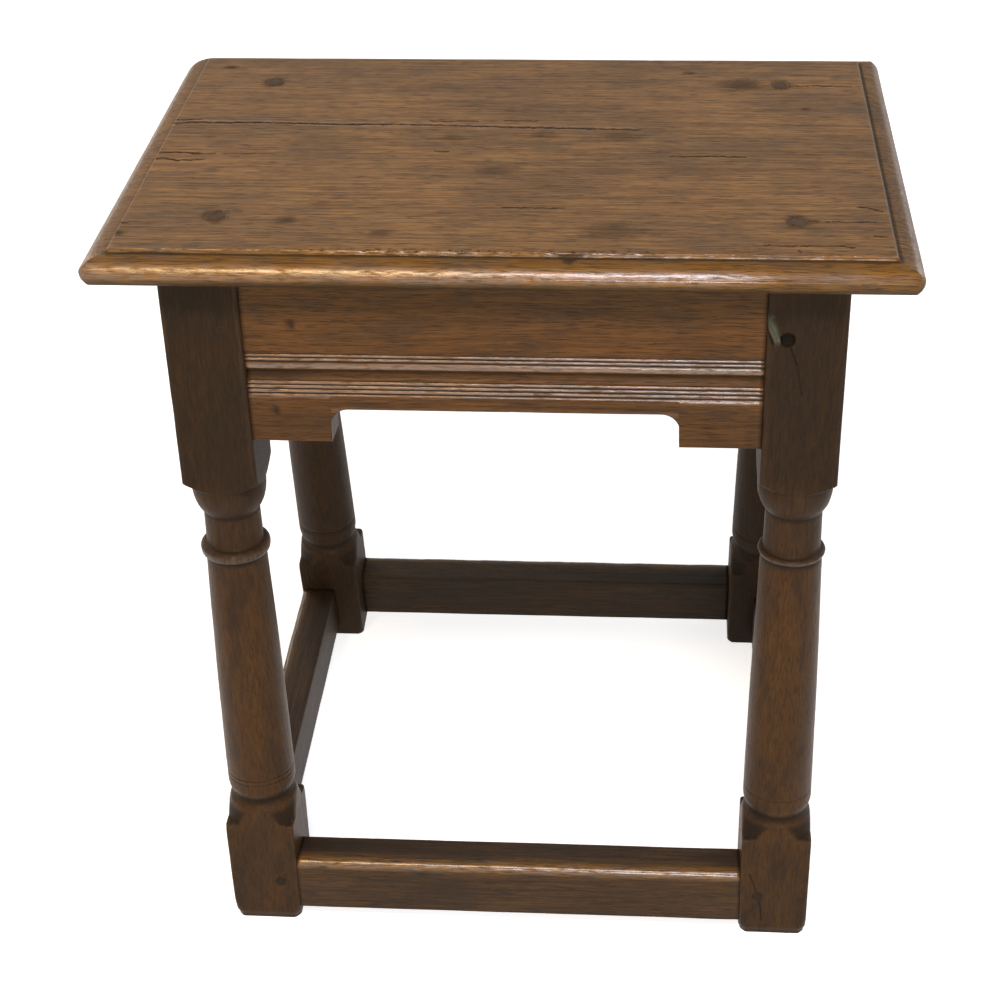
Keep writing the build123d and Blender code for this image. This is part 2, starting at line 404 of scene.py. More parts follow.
@dataclass(frozen=True)
class OldOak:
    """English oak, riven and hand planed, then stained dark by age, smoke and many coats of wax.

    The eye sees long streaks of darker summer wood, short open pores filled with dirt, soft
    grey-brown blotches, and a low sheen that wax raises where hands and feet rub it.
    """

    title: str
    slot: str
    wood: str                   # between the streaks
    streak: str                 # summer wood and dirt in it
    smoke: str                  # blotches
    rubbed: str                 # rubbed edges
    amber: str                  # thick wax on the mouldings
    honey: str                  # patches where the stain is thin
    # dirt is also the colour of the painted shade laid through the grime mark
    dirt: str = "1A1610"
    bare: str = "575B4B"        # a break that has greyed but never was stained
    figure: Point2 = (95.0, 2.6)    # length and width of the growth rings' streaks
    fibre: Point2 = (26.0, 0.8)
    pore: Point2 = (12.0, 0.65)     # real pores are 0.3 wide, too fine to show
    blotch: float = 16.0
    drift: float = 6.0          # how far the grain wanders off straight
    figure_share: float = 0.6
    fibre_share: float = 0.55
    pore_share: float = 0.5
    blotch_share: float = 0.6
    honey_share: float = 0.5
    cloud_share: float = 0.55   # how far whole areas drift towards the blotches' colour
    dull: float = 0.5           # roughness of the plain surface
    waxed: float = 0.3          # roughness where it is polished or rubbed
    dirt_rough: float = 0.25    # what packed dirt adds to the roughness
    relief: float = 0.22        # height of the grain that stands up
    wax: float = 0.02           # coat over the plain surface
    wax_rubbed: float = 0.6     # coat where hands and feet have polished it
    ripple: Point2 = (9.0, 2.6)     # length and width of the dents under the wax
    ripple_depth: float = 0.16
    ior: float = 1.5
    specular: float = 0.1       # dry, dirty wood gives back little; its shine is the wax's
    coat_roughness: float = 0.26
    coat_ior: float = 1.8       # old wax over shellac, a harder shine than fresh wax's 1.5

    def material(self, grain: Grain) -> bpy.types.Material:
        """Makes the finish for pieces whose grain runs one way.

        Args:
            grain: the way the grain runs.

        Returns:
            The material.
        """
        name = f"{self.title}_{grain.name.lower()}"
        if name in bpy.data.materials:
            return bpy.data.materials[name]
        made = bpy.data.materials.new(name)
        made.use_nodes = True
        tree = made.node_tree
        tree.nodes.clear()
        noises = self._noises(tree, self._grain_space(tree, grain))
        shares = self._shares(tree, noises)
        age = {
            mark: add_node(tree, "ShaderNodeAttribute", attribute_name=mark).outputs["Fac"]
            for mark in Marks.NAMES
        }
        standing_grain, dents = self._reliefs(tree, noises, shares)
        shader = add_node(
            tree, "ShaderNodeBsdfPrincipled",
            {
                "Base Color": self._colour(tree, shares, age),
                "Roughness": self._roughness(tree, age),
                "Normal": standing_grain,
                "IOR": self.ior,
                "Specular IOR Level": self.specular,
                "Coat Weight": self._coat(tree, shares["broken"], age),
                "Coat Roughness": self.coat_roughness,
                "Coat IOR": self.coat_ior,
                "Coat Normal": dents,
            },
        )
        add_node(tree, "ShaderNodeOutputMaterial", {"Surface": shader.outputs[0]})
        return made

    def _grain_space(self, tree: bpy.types.NodeTree, grain: Grain) -> bpy.types.NodeSocket:
        """Object coordinates with the grain along X, bent a little as real grain is.

        Args:
            tree: the material's node tree.
            grain: the way the grain runs.

        Returns:
            The bent coordinates, in metres.
        """
        place = add_node(tree, "ShaderNodeTexCoord").outputs["Object"]
        turn = [math.radians(angle) for angle in grain.value]
        turned = add_node(tree, "ShaderNodeMapping", {"Vector": place, "Rotation": turn}).outputs[0]
        slow = add_node(
            tree, "ShaderNodeMapping", {"Vector": turned, "Scale": (5.0, 16.0, 16.0)}
        ).outputs[0]
        bend = add_node(
            tree, "ShaderNodeTexNoise", {"Vector": slow, "Scale": 1.0, "Detail": 2.0}
        ).outputs["Color"]
        reach = self.drift / METRE
        return add_node(
            tree, "ShaderNodeVectorMath", {0: bend, 1: (0.0, reach, reach), 2: turned},
            operation="MULTIPLY_ADD",
        ).outputs[0]

    def _noises(self, tree: bpy.types.NodeTree, along: bpy.types.NodeSocket) -> Sockets:
        """Draws the noise behind each pattern, stretched along the grain.

        Args:
            tree: the material's node tree.
            along: the grain's own coordinates.

        Returns:
            The noises, each about 0.5, by name.
        """
        wide = self.blotch
        shapes = {
            # length and width of a streak, how many finer layers it has and how strong they are
            "figure": (self.figure, 6.0, 0.7),
            "fibre": (self.fibre, 3.0, 0.65),
            "pore": (self.pore, 1.0, 0.5),
            "blotch": ((2.4 * wide, wide), 5.0, 0.62),
            "cloud": ((6.0 * wide, 2.6 * wide), 3.0, 0.55),
            "patch": ((3.4 * wide, 0.6 * wide), 4.0, 0.6),
            "ripple": (self.ripple, 3.0, 0.6),
        }
        noises = {}
        for name, ((length, width), detail, rough) in shapes.items():
            scale = (METRE / length, METRE / width, METRE / width)
            drawn = add_node(tree, "ShaderNodeMapping", {"Vector": along, "Scale": scale}).outputs[0]
            noises[name] = add_node(
                tree, "ShaderNodeTexNoise",
                {"Vector": drawn, "Scale": 1.0, "Detail": detail, "Roughness": rough},
            ).outputs["Fac"]
        return noises

    def _shares(self, tree: bpy.types.NodeTree, noises: Sockets) -> Sockets:
        """Turns the noises into how much of each pattern shows.

        Args:
            tree: the material's node tree.
            noises: the noises, by name.

        Returns:
            A share from 0 to its most for each pattern, by name.
        """
        bands = {
            # the noise, where in it the pattern starts and is full, and its most
            "streak": ("figure", 0.46, 0.58, self.figure_share),
            "thread": ("fibre", 0.48, 0.60, self.fibre_share),
            "dots": ("pore", 0.58, 0.65, self.pore_share),
            "haze": ("blotch", 0.50, 0.66, self.blotch_share),
            "drift": ("cloud", 0.38, 0.64, self.cloud_share),
            "honey": ("patch", 0.50, 0.68, self.honey_share),
            "broken": ("ripple", 0.24, 0.60, 1.0),
            "waxy": ("blotch", 0.75, 0.40, 0.9),
            "rub": ("fibre", 0.66, 0.42, 0.9),
        }
        return {
            name: add_node(
                tree, "ShaderNodeMapRange",
                {"Value": noises[source], "From Min": low, "From Max": high, "To Max": most},
                interpolation_type="SMOOTHSTEP",
            ).outputs[0]
            for name, (source, low, high, most) in bands.items()
        }

    def _colour(self, tree: bpy.types.NodeTree, shares: Sockets, age: Sockets) -> bpy.types.NodeSocket:
        """Lays the colours over the plain wood, one by one.

        Args:
            tree: the material's node tree.
            shares: how much of each pattern shows.
            age: the marks that age has left on the piece, and its painted shade.

        Returns:
            The colour.
        """
        waxy, rub = (
            add_node(tree, "ShaderNodeMath", {0: age[mark], 1: shares[name]}, operation="MULTIPLY").outputs[0]
            for mark, name in (("polish", "waxy"), ("worn", "rub"))
        )
        layers = (
            (shares["drift"], self.smoke),
            (shares["honey"], self.honey),
            (shares["streak"], self.streak),
            (waxy, self.amber),
            (shares["haze"], self.smoke),
            (rub, self.rubbed),
            (shares["thread"], self.streak),
            (shares["dots"], self.dirt),
            (age["grime"], self.dirt),
            (age["bare"], self.bare),
        )
        colour = linear(self.wood)
        for share, over in layers:
            colour = add_node(
                tree, "ShaderNodeMix", {0: share, 6: colour, 7: linear(over)}, data_type="RGBA"
            ).outputs[2]
        return colour

    def _roughness(self, tree: bpy.types.NodeTree, age: Sockets) -> bpy.types.NodeSocket:
        """Makes the wood smooth where rubbed or polished, and rough under dirt and painted shade.

        Args:
            tree: the material's node tree.
            age: the marks that age has left on the piece, and its painted shade.

        Returns:
            The roughness.
        """
        smooth = add_node(tree, "ShaderNodeMath", {0: age["worn"], 1: age["polish"]}, operation="MAXIMUM")
        rough = add_node(
            tree, "ShaderNodeMapRange",
            {"Value": smooth.outputs[0], "To Min": self.dull, "To Max": self.waxed},
        )
        return add_node(
            tree, "ShaderNodeMath", {0: age["grime"], 1: self.dirt_rough, 2: rough.outputs[0]},
            operation="MULTIPLY_ADD", use_clamp=True,
        ).outputs[0]

    def _coat(
        self, tree: bpy.types.NodeTree, broken: bpy.types.NodeSocket, age: Sockets
    ) -> bpy.types.NodeSocket:
        """Waxes the rubbed wood, in broken patches and not under dirt and painted shade.

        Args:
            tree: the material's node tree.
            broken: how whole the wax is.
            age: the marks that age has left on the piece, and its painted shade.

        Returns:
            The coat's weight.
        """
        clean = add_node(tree, "ShaderNodeMath", {0: 1.0, 1: age["grime"]}, operation="SUBTRACT").outputs[0]
        shine = age["worn"]
        for share in (broken, clean):
            shine = add_node(tree, "ShaderNodeMath", {0: shine, 1: share}, operation="MULTIPLY").outputs[0]
        return add_node(
            tree, "ShaderNodeMath", {0: shine, 1: self.wax_rubbed, 2: self.wax}, operation="MULTIPLY_ADD"
        ).outputs[0]

    def _reliefs(
        self, tree: bpy.types.NodeTree, noises: Sockets, shares: Sockets
    ) -> tuple[bpy.types.NodeSocket, bpy.types.NodeSocket]:
        """Raises the grain between the pores and fibres, and dents the wax over it.

        Args:
            tree: the material's node tree.
            noises: the noises, by name.
            shares: how much of each pattern shows.

        Returns:
            The normals of the wood and of the wax.
        """
        height = add_node(
            tree, "ShaderNodeMath", {0: shares["dots"], 1: -1.0}, operation="MULTIPLY"
        ).outputs[0]
        for part, weight in ((shares["thread"], -0.8), (noises["figure"], -0.9)):
            height = add_node(
                tree, "ShaderNodeMath", {0: part, 1: weight, 2: height}, operation="MULTIPLY_ADD"
            ).outputs[0]
        wood, wax = (
            add_node(
                tree, "ShaderNodeBump", {"Strength": 1.0, "Distance": depth / METRE, "Height": relief}
            ).outputs["Normal"]
            for relief, depth in ((height, self.relief), (noises["ripple"], self.ripple_depth))
        )
        return wood, wax


# Board oak: dry and rubbed pale on the flat, with amber wax on its moulded edge.
SEAT_OAK = OldOak(
    title="waxed_oak_board", slot="oak_seat", wood="8E6C43", streak="4C3722", smoke="5F4C35",
    rubbed="8E6430", amber="7B5519", honey="987241", figure=(130.0, 2.4), fibre=(38.0, 0.8),
    figure_share=0.5, fibre_share=0.5, honey_share=0.35, pore_share=0.6, wax_rubbed=1.0,
)
# Turned oak: the darkest, since legs gather dirt and little rubs them clean.
LEG_OAK = OldOak(
    title="smoked_oak_turning", slot="oak_legs", wood="4A3520", streak="2D2014", smoke="34261A",
    rubbed="5C4226", amber="62421F", honey="5C3E1B", dull=0.46, figure=(150.0, 2.6),
    fibre=(44.0, 1.0), figure_share=0.55, pore_share=0.15, honey_share=0.3, blotch_share=0.4,
    wax=0.01, wax_rubbed=0.5,
)
# Rail oak: redder, and glossier than the rest.
RAIL_OAK = OldOak(
    title="waxed_oak_rail", slot="oak_rails", wood="6E4B29", streak="392817", smoke="4B3825",
    rubbed="7A5630", amber="6C4921", honey="7A5227", figure=(130.0, 2.4), fibre=(34.0, 0.8),
    figure_share=0.5, fibre_share=0.42, honey_share=0.35, dull=0.42, waxed=0.28, wax=0.03,
    wax_rubbed=1.0, ripple=(7.0, 1.6),
)
# Stretcher oak: dark, with an arris that feet have polished pale.
STRETCHER_OAK = OldOak(
    title="foot_worn_oak", slot="oak_stretchers", wood="5A422B", streak="33261A", smoke="3C3024",
    rubbed="9A6E34", amber="6A4C1E", honey="664826", dull=0.42, wax=0.03, wax_rubbed=1.0,
    ripple_depth=0.09,
)
# Peg oak: riven pins seen on their end grain, nearly the colour of the legs that they hold.
PEG_OAK = OldOak(
    title="oak_end_grain", slot="oak_pegs", wood="42311F", streak="2C2115", smoke="34281C",
    rubbed="48351F", amber="3E2E20", honey="483622", figure=(9.0, 3.0), fibre=(3.0, 0.8),
    pore=(2.0, 0.7), drift=1.0,
)
# The seat's pegs have been rubbed and waxed with the board, but their end grain stays darker.
SEAT_PEG_OAK = replace(
    PEG_OAK, title="waxed_end_grain", wood="6C5440", streak="4A392A", smoke="57442F",
    honey="735735",
)


def hand_over(bm: BMesh, name: str, node: str, finish: OldOak, grain: Grain) -> bpy.types.Object:
    """Makes the finished piece from its mesh, and puts it in the frame in its node's place.

    Args:
        bm: the piece, in the stool's millimetres.
        name: the piece's name.
        node: the node that it stands for.
        finish: its finish.
        grain: the way its grain runs.

    Returns:
        The piece.
    """
    bmesh.ops.scale(bm, vec=Vector((1, 1, 1)) / METRE, verts=bm.verts)
    bmesh.ops.recalc_face_normals(bm, faces=bm.faces)
    for face in bm.faces:
        face.smooth = len(face.verts) <= MOST_SIDES
    mesh = bpy.data.meshes.new(name)
    bm.to_mesh(mesh)
    bm.free()
    piece = bpy.data.objects.new(name, mesh)
    bpy.context.scene.collection.objects.link(piece)
    mesh.materials.append(finish.material(grain))
    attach(piece, BODY)
    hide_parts(node)
    return piece


# ------------------------------------------------------------------ seat
@dataclass(frozen=True)
class Crack:
    """A shake or split that runs with the grain of the board."""

    path: tuple[Point2, ...]
    width: float = 1.0
    depth: float = 1.3
    lip: float = 0.0            # the side behind it stands up by this
    dirt: float = 0.92

    def reaches(self, x: float, y: float) -> bool:
        """Whether a place is in the crack's own box, with a margin."""
        (x0, x1), (y0, y1) = self.box
        return x0 < x < x1 and y0 < y < y1

    @cached_property
    def box(self) -> tuple[Point2, Point2]:
        """The crack's box.

        Returns:
            Its lowest and highest x, and the same for y, with a margin.
        """
        margin = 4.5
        spans = [(min(values) - margin, max(values) + margin) for values in zip(*self.path)]
        return spans[0], spans[1]

    def near(self, x: float, y: float) -> tuple[float, float]:
        """How far a place is from the crack, and how far along it.

        Args:
            x: along the board.
            y: across the board.

        Returns:
            The distance, positive behind the crack, and the x of the nearest point.
        """
        best, at = 1e9, x
        for (x0, y0), (x1, y1) in zip(self.path, self.path[1:]):
            run = (x1 - x0) ** 2 + (y1 - y0) ** 2
            share = min(max(((x - x0) * (x1 - x0) + (y - y0) * (y1 - y0)) / run, 0.0), 1.0)
            nx, ny = x0 + share * (x1 - x0), y0 + share * (y1 - y0)
            gap = math.copysign(math.hypot(x - nx, y - ny), y - ny)
            if abs(gap) < abs(best):
                best, at = gap, nx
        return best, at

    def opening(self, at: float) -> float:
        """How far open the crack is, which is not even along it.

        Args:
            at: an x along the crack.

        Returns:
            A share from 0 at its ends to about 1.
        """
        low, high = min(p[0] for p in self.path), max(p[0] for p in self.path)
        ends = ease(at, low - 0.5, low + 4.0) * ease(at, high + 0.5, high - 12.0)
        return max(ends * (0.74 + 0.8 * wander(at / 7.0, low) + 0.4 * wander(at / 2.0, high)), 0.0)


@dataclass
class SeatBoard:
    """The board: a flat field, a step, a thumb moulding worked round it, and old damage."""

    length: float = 483.0
    depth: float = 311.0
    moulding: float = 14.8      # width of the moulding
    step: float = 2.3           # drop from the field to the moulding
    arris: float = 1.8          # width over which the field's edge is rubbed round
    nose: float = 8.2           # height of the widest line
    corner: float = 6.4
    worn_corner: float = 18.4
    cells: tuple[int, int] = (180, 140)
    step_band: float = 4.0      # fine faces behind the front step, right of sound_to
    sound_to: float = -200.0
    peg_rim: float = 5.5        # fine faces round each peg, this far out and as wide as the band
    peg_band: float = 2.6
    crack_band: float = 2.4     # fine faces on each side of a crack
    cracks: tuple[Crack, ...] = (
        Crack(((-230.0, 17.0), (-226.6, 30.5), (-214.0, 33.0), (-190.0, 32.6), (-168.0, 33.4),
               (-120.0, 31.4), (-72.0, 31.8), (-20.0, 29.4), (40.0, 27.4), (82.0, 26.1)),
              width=2.1, depth=1.7, lip=0.3),
        Crack(((-236.0, 24.0), (-226.0, 36.5), (-206.0, 37.5)), width=1.2, depth=1.0),
        Crack(((-229.5, -13.1), (-214.0, -12.2), (-200.0, -14.0), (-186.4, -13.7)), width=1.8),
        Crack(((-230.0, -23.2), (-220.0, -20.6), (-210.0, -24.2), (-191.4, -22.2)), width=1.5),
        Crack(((-186.0, -14.6), (-168.0, -13.2), (-148.0, -14.0)), width=0.8, depth=0.5, dirt=0.6),
        Crack(((-231.5, -108.3), (-217.5, -108.4)), width=1.0),
        Crack(((-60.0, 37.5), (-48.0, 36.6), (-40.0, 38.0), (-22.0, 37.4)), width=0.7, depth=0.8),
        Crack(((-12.0, 39.0), (18.0, 38.2)), width=0.6, depth=0.6),
        Crack(((207.0, -78.5), (216.5, -81.1), (226.0, -87.0)), width=1.2),
        Crack(((213.0, -115.0), (226.0, -116.2)), width=1.2),
        Crack(((150.0, -127.0), (170.0, -128.4), (190.0, -127.2), (206.0, -130.0)), width=0.8),
        Crack(((168.0, -131.0), (176.2, -141.0)), width=0.8, depth=0.7),
        Crack(((176.0, -97.5), (200.0, -98.2), (222.0, -97.6)), width=0.6, depth=0.7),
        Crack(((96.0, -13.0), (128.0, -12.2), (150.0, -13.4)), width=0.6, depth=0.6),
        Crack(((-5.0, -84.0), (40.0, -84.6)), width=0.6, depth=0.6),
        Crack(((172.0, 97.2), (200.0, 97.6), (222.0, 96.4)), width=0.7, depth=0.8),
        Crack(((-52.0, -8.0), (-36.0, -8.4)), width=0.6, depth=0.5),
    )
    stains: tuple[tuple[float, float, float, float], ...] = (
        # x, y, radius, strength
        (-224.7, -120.9, 3.6, 0.75), (-206.5, 124.1, 3.4, 0.65), (-128.0, -103.0, 4.5, 0.5),
        (-70.0, -118.0, 5.0, 0.4), (18.0, 18.0, 7.0, 0.35), (-110.0, -82.0, 4.0, 0.3),
        (146.0, 99.0, 10.0, 0.5), (66.0, 15.0, 9.0, 0.3), (186.0, 60.0, 2.2, 0.6),
        (-10.0, -35.0, 8.0, 0.3), (64.0, -112.0, 12.0, 0.3), (110.0, 118.0, 3.0, 0.5),
        (-40.0, 12.0, 6.0, 0.3),
    )

    @property
    def field_x(self) -> float:
        """Half the length of the flat field."""
        return self.length / 2 - self.moulding

    @property
    def field_y(self) -> float:
        """Half the depth of the flat field."""
        return self.depth / 2 - self.moulding

    def edge_section(self) -> list[Point2]:
        """The section from the field's edge out over the moulding and back underneath.

        Returns:
            Distances out from the field, each with its height above the underside.
        """
        top = SEAT_THICKNESS
        shelf = top - self.step
        pen = Pen((-self.arris, top))
        pen.bend((-1.35, top - 0.02), (-1.1, top - 0.26), 3).line((-0.35, top - 1.0), 2)
        pen.bend((-0.05, top - 1.3), (0.05, shelf + 0.55), 3)
        pen.arc((0.3, shelf + 0.05), (0.9, shelf - 0.06), 3)
        pen.arc((5.0, 15.78), (8.6, 14.85), 8)
        pen.arc((11.5, 13.15), (13.95, 10.5), 9)
        pen.arc((14.62, 9.5), (self.moulding, self.nose), 4)
        pen.arc((13.3, 3.1), (9.8, 0.0), 9)
        return pen.points[1:]

    def build(self) -> bpy.types.Object:
        """Makes the board.

        Returns:
            The finished piece.
        """
        bm = bmesh.new()
        marks = Marks(bm)
        self._lay_field(bm)
        self._work_edge(bm)
        self._round_corners(bm)
        refine(bm, self._damaged, 3)
        self._dress(bm, marks)
        bmesh.ops.translate(bm, vec=(0, 0, FRAME_TOP), verts=bm.verts)
        return hand_over(bm, "seat_board_worn", "seat_board", SEAT_OAK, Grain.LENGTHWAYS)

    def _lay_field(self, bm: BMesh) -> None:
        """Lays the flat of the board as a grid.

        Args:
            bm: an empty mesh.
        """
        x_cells, y_cells = self.cells
        bmesh.ops.create_grid(bm, x_segments=x_cells, y_segments=y_cells, size=1.0)
        flat = (self.field_x - self.arris, self.field_y - self.arris, 1)
        bmesh.ops.scale(bm, vec=flat, verts=bm.verts)
        bmesh.ops.translate(bm, vec=(0, 0, SEAT_THICKNESS), verts=bm.verts)

    def _work_edge(self, bm: BMesh) -> None:
        """Carries the field's border out over the moulding, with a mitre at each corner.

        Args:
            bm: the field.
        """
        ring = [edge for edge in bm.edges if edge.is_boundary]
        before = -self.arris
        for out, height in self.edge_section():
            verts, ring = next_ring(bm, ring)
            wide = (self.field_x + out) / (self.field_x + before)
            deep = (self.field_y + out) / (self.field_y + before)
            for vert in verts:
                vert.co = (vert.co.x * wide, vert.co.y * deep, height)
            before = out
        bmesh.ops.holes_fill(bm, edges=ring)

    def _round_corners(self, bm: BMesh) -> None:
        """Draws the moulding in round each corner.

        Args:
            bm: the board.
        """
        for sx in (-1, 1):
            for sy in (-1, 1):
                radius = self.worn_corner if (sx, sy) == (-1, 1) else self.corner
                cx, cy = self.length / 2 - radius, self.depth / 2 - radius
                for vert in bm.verts:
                    dx, dy = sx * vert.co.x - cx, sy * vert.co.y - cy
                    if dx <= 0 or dy <= 0:
                        continue
                    reach = math.hypot(dx, dy)
                    square = 1.0 - max(dx, dy) / reach
                    keep = 1.0 - square * ease(reach, 0.15 * radius, radius)
                    vert.co.x = sx * (cx + dx * keep)
                    vert.co.y = sy * (cy + dy * keep)

    def _damaged(self, middle: Vector) -> bool:
        """Says whether a face is near a crack, a peg or the chipped front step.

        Args:
            middle: the face's middle.

        Returns:
            Whether the face needs finer ones.
        """
        if middle.z < SEAT_THICKNESS - 0.4 or abs(middle.x) > self.field_x:
            return False
        if -self.field_y < middle.y < self.step_band - self.field_y and middle.x > self.sound_to:
            return True
        gaps = (math.hypot(middle.x - x, middle.y - y) - self.peg_rim for x, y in SEAT_PEG_SPOTS)
        if any(abs(gap) < self.peg_band for gap in gaps):
            return True
        close = [crack for crack in self.cracks if crack.reaches(middle.x, middle.y)]
        return any(abs(crack.near(middle.x, middle.y)[0]) < self.crack_band for crack in close)

    def _chips(self, x: float) -> float:
        """How far back the front step is chipped at an x."""
        rough = 1.9 * wander(x / 8.0, 3.1) + 1.3 * wander(x / 2.6, 7.7) + 0.25
        return max(self._busy(x) * rough, 0.0)

    @staticmethod
    def _busy(x: float) -> float:
        """How battered the front step is at an x, most of all near the middle."""
        return 0.25 + 0.75 * ease(x, -130.0, -60.0) * ease(x, 130.0, 60.0)

    def _dress(self, bm: BMesh, marks: Marks) -> None:
        """Wears the board, cuts its cracks and chips, and marks wax, dirt, rubbed wood and painted shade.

        Args:
            bm: the board.
            marks: its marks.
        """
        weather = Weather(seed=4.7, swell=0.28, nick=0.35)
        bm.normal_update()
        for vert in bm.verts:
            x, y, z = vert.co
            on_top = z > SEAT_THICKNESS - 0.3
            front = -y - self.field_y
            back = y - self.field_y
            end = abs(x) - self.field_x
            self._mark_edge(marks, vert, front, back, end)
            if z > 0.1:
                vert.co -= vert.normal * weather.depth(vert.co)
            if on_top:
                self._mark_field(marks, vert, front)
                self._cut_cracks(marks, vert)
            chip = self._chips(x)
            if front > -chip and z > SEAT_THICKNESS - self.step + 0.5 and end < 0:
                vert.co.z -= 0.62 * (chip + min(front, 0.0))
                marks.deepen(vert, worn=0.5, grime=0.6 * max(wander(x / 3.0, 1.0), 0.0))
            if on_top and -6.0 < front < -0.8 and end < -3.0:
                pit = self._busy(x) * ease(front, -6.0, -2.5)
                pit *= ease(wander(x / 3.2, y / 1.3, 4.0), 0.12, 0.42)
                vert.co.z -= 0.6 * pit
                marks.deepen(vert, grime=0.9 * pit)

    def _mark_edge(self, marks: Marks, vert: BMVert, front: float, back: float, end: float) -> None:
        """Marks the moulding: waxed at the front, duller behind, dark and dry on the end grain.

        It also paints a shadow just below the step, and shade on the moulding's underside.

        Args:
            marks: the board's marks.
            vert: a vertex of the board.
            front: how far the vertex is out from the field's front edge.
            back: the same for its back edge.
            end: the same for its nearer end.
        """
        out = max(front, back, end)
        if out < -1.0:
            return
        z = vert.co.z
        rub = ease(out, 8.0, 12.0) * ease(z, 4.0, 9.0)
        # painted shadow in a band just below the step
        step_shadow = ease(out, 3.6, 1.4) * ease(out, -0.1, 0.3) * ease(z, 17.6, 16.6)
        # painted shade on the moulding's underside
        under = ease(z, 7.0, 1.0)
        if front >= max(back, end):
            x = vert.co.x
            stripe = 0.5 + 0.5 * wander(x / 22.0, out / 1.4)
            knot = ease(abs(x - 41.0) + 1.1 * out + 2.0 * wander(x / 2.0, out), 9.5, 6.5)
            marks.put(
                vert, polish=ease(z, 1.0, 7.0), worn=0.75 * rub * (1.0 - 0.85 * ease(x, 120.0, 165.0)),
                grime=max(
                    0.72 * step_shadow, 0.5 * under, 0.8 * knot,
                    0.35 * stripe * (1.0 - rub) * ease(out, 0.5, 3.0),
                ),
            )
        elif back >= end:
            grime = max(0.6 * step_shadow, 0.5 * under)
            marks.put(vert, polish=0.3 * ease(z, 1.0, 7.0), worn=0.3 * rub, grime=grime)
        else:
            ends = ease(-front, -4.0, 10.0)
            # the painted shadow under the step is heavier at the right end
            step_shadow_strength, end_dirt = (0.8, 0.26) if vert.co.x > 0 else (0.12, 0.06)
            marks.put(
                vert, polish=0.7 * (1.0 - ends), worn=0.35 * rub,
                grime=max(step_shadow_strength * step_shadow, end_dirt * ends * ease(out, -0.5, 1.5), 0.5 * under),
            )

    def _mark_field(self, marks: Marks, vert: BMVert, front: float) -> None:
        """Marks the amber band behind the front step, the stains, and the dirt round the pegs.

        Args:
            marks: the board's marks.
            vert: a vertex of the field.
            front: how far the vertex is out from the field's front edge.
        """
        x, y = vert.co.x, vert.co.y
        band = ease(front, -9.0 - 3.0 * wander(x / 30.0), -2.0)
        marks.deepen(vert, polish=0.75 * band, worn=0.9 * ease(front, -2.2, -0.6))
        for px, py in SEAT_PEG_SPOTS:
            reach = math.hypot(x - px, y - py)
            gap = abs(reach - 6.1)
            if gap < 1.2:
                vert.co.z -= 0.5 * (1.2 - gap)
                marks.deepen(vert, grime=(0.45 + 0.5 * wander(x / 4.0, y / 4.0)) * (1.2 - gap))
            smear = ease(reach / 1.3 + 3.0 * wander(x / 4.5, y / 3.0, 6.0), 8.6, 5.0)
            marks.deepen(vert, grime=0.4 * smear)
        for sx, sy, radius, strength in self.stains:
            gap = math.hypot((x - sx) / 1.5, y - sy) / radius + 0.35 * wander(x / 3.0, y / 3.0)
            marks.deepen(vert, grime=min(1.35 * strength, 0.8) * ease(gap, 1.4, 0.3))

    def _cut_cracks(self, marks: Marks, vert: BMVert) -> None:
        """Opens the cracks under a vertex of the field.

        Args:
            marks: the board's marks.
            vert: the vertex.
        """
        x, y = vert.co.x, vert.co.y
        for crack in self.cracks:
            if not crack.reaches(x, y):
                continue
            ragged = 0.9 * wander(x / 6.0, 2.0) + 0.6 * wander(x / 2.1, 8.0) + 0.3 * wander(x / 0.8, 5.0)
            gap, at = crack.near(x, y + ragged)
            open_share = crack.opening(at)
            half = 0.5 * crack.width * open_share
            if half < 0.08:
                continue
            share = ease(abs(gap), half + 0.3, 0.1)
            vert.co.z -= crack.depth * share * min(open_share, 1.0)
            fringe = max(0.9 + 1.1 * wander(x / 4.5, y / 1.2, 9.0), 0.3)
            marks.deepen(vert, grime=crack.dirt * ease(abs(gap), half + fringe, 0.6 * half))
            if crack.lip and gap < 0:
                marks.deepen(vert, worn=0.8 * open_share * ease(-gap, half + 1.6, half + 0.5))
            if crack.lip and gap > half:
                lifted = crack.lip * ease(gap, 4.0, half) * open_share
                vert.co.z = min(vert.co.z + lifted, SEAT_THICKNESS)
                marks.deepen(vert, worn=0.5 * ease(gap, 3.4, half + 0.9) * open_share)


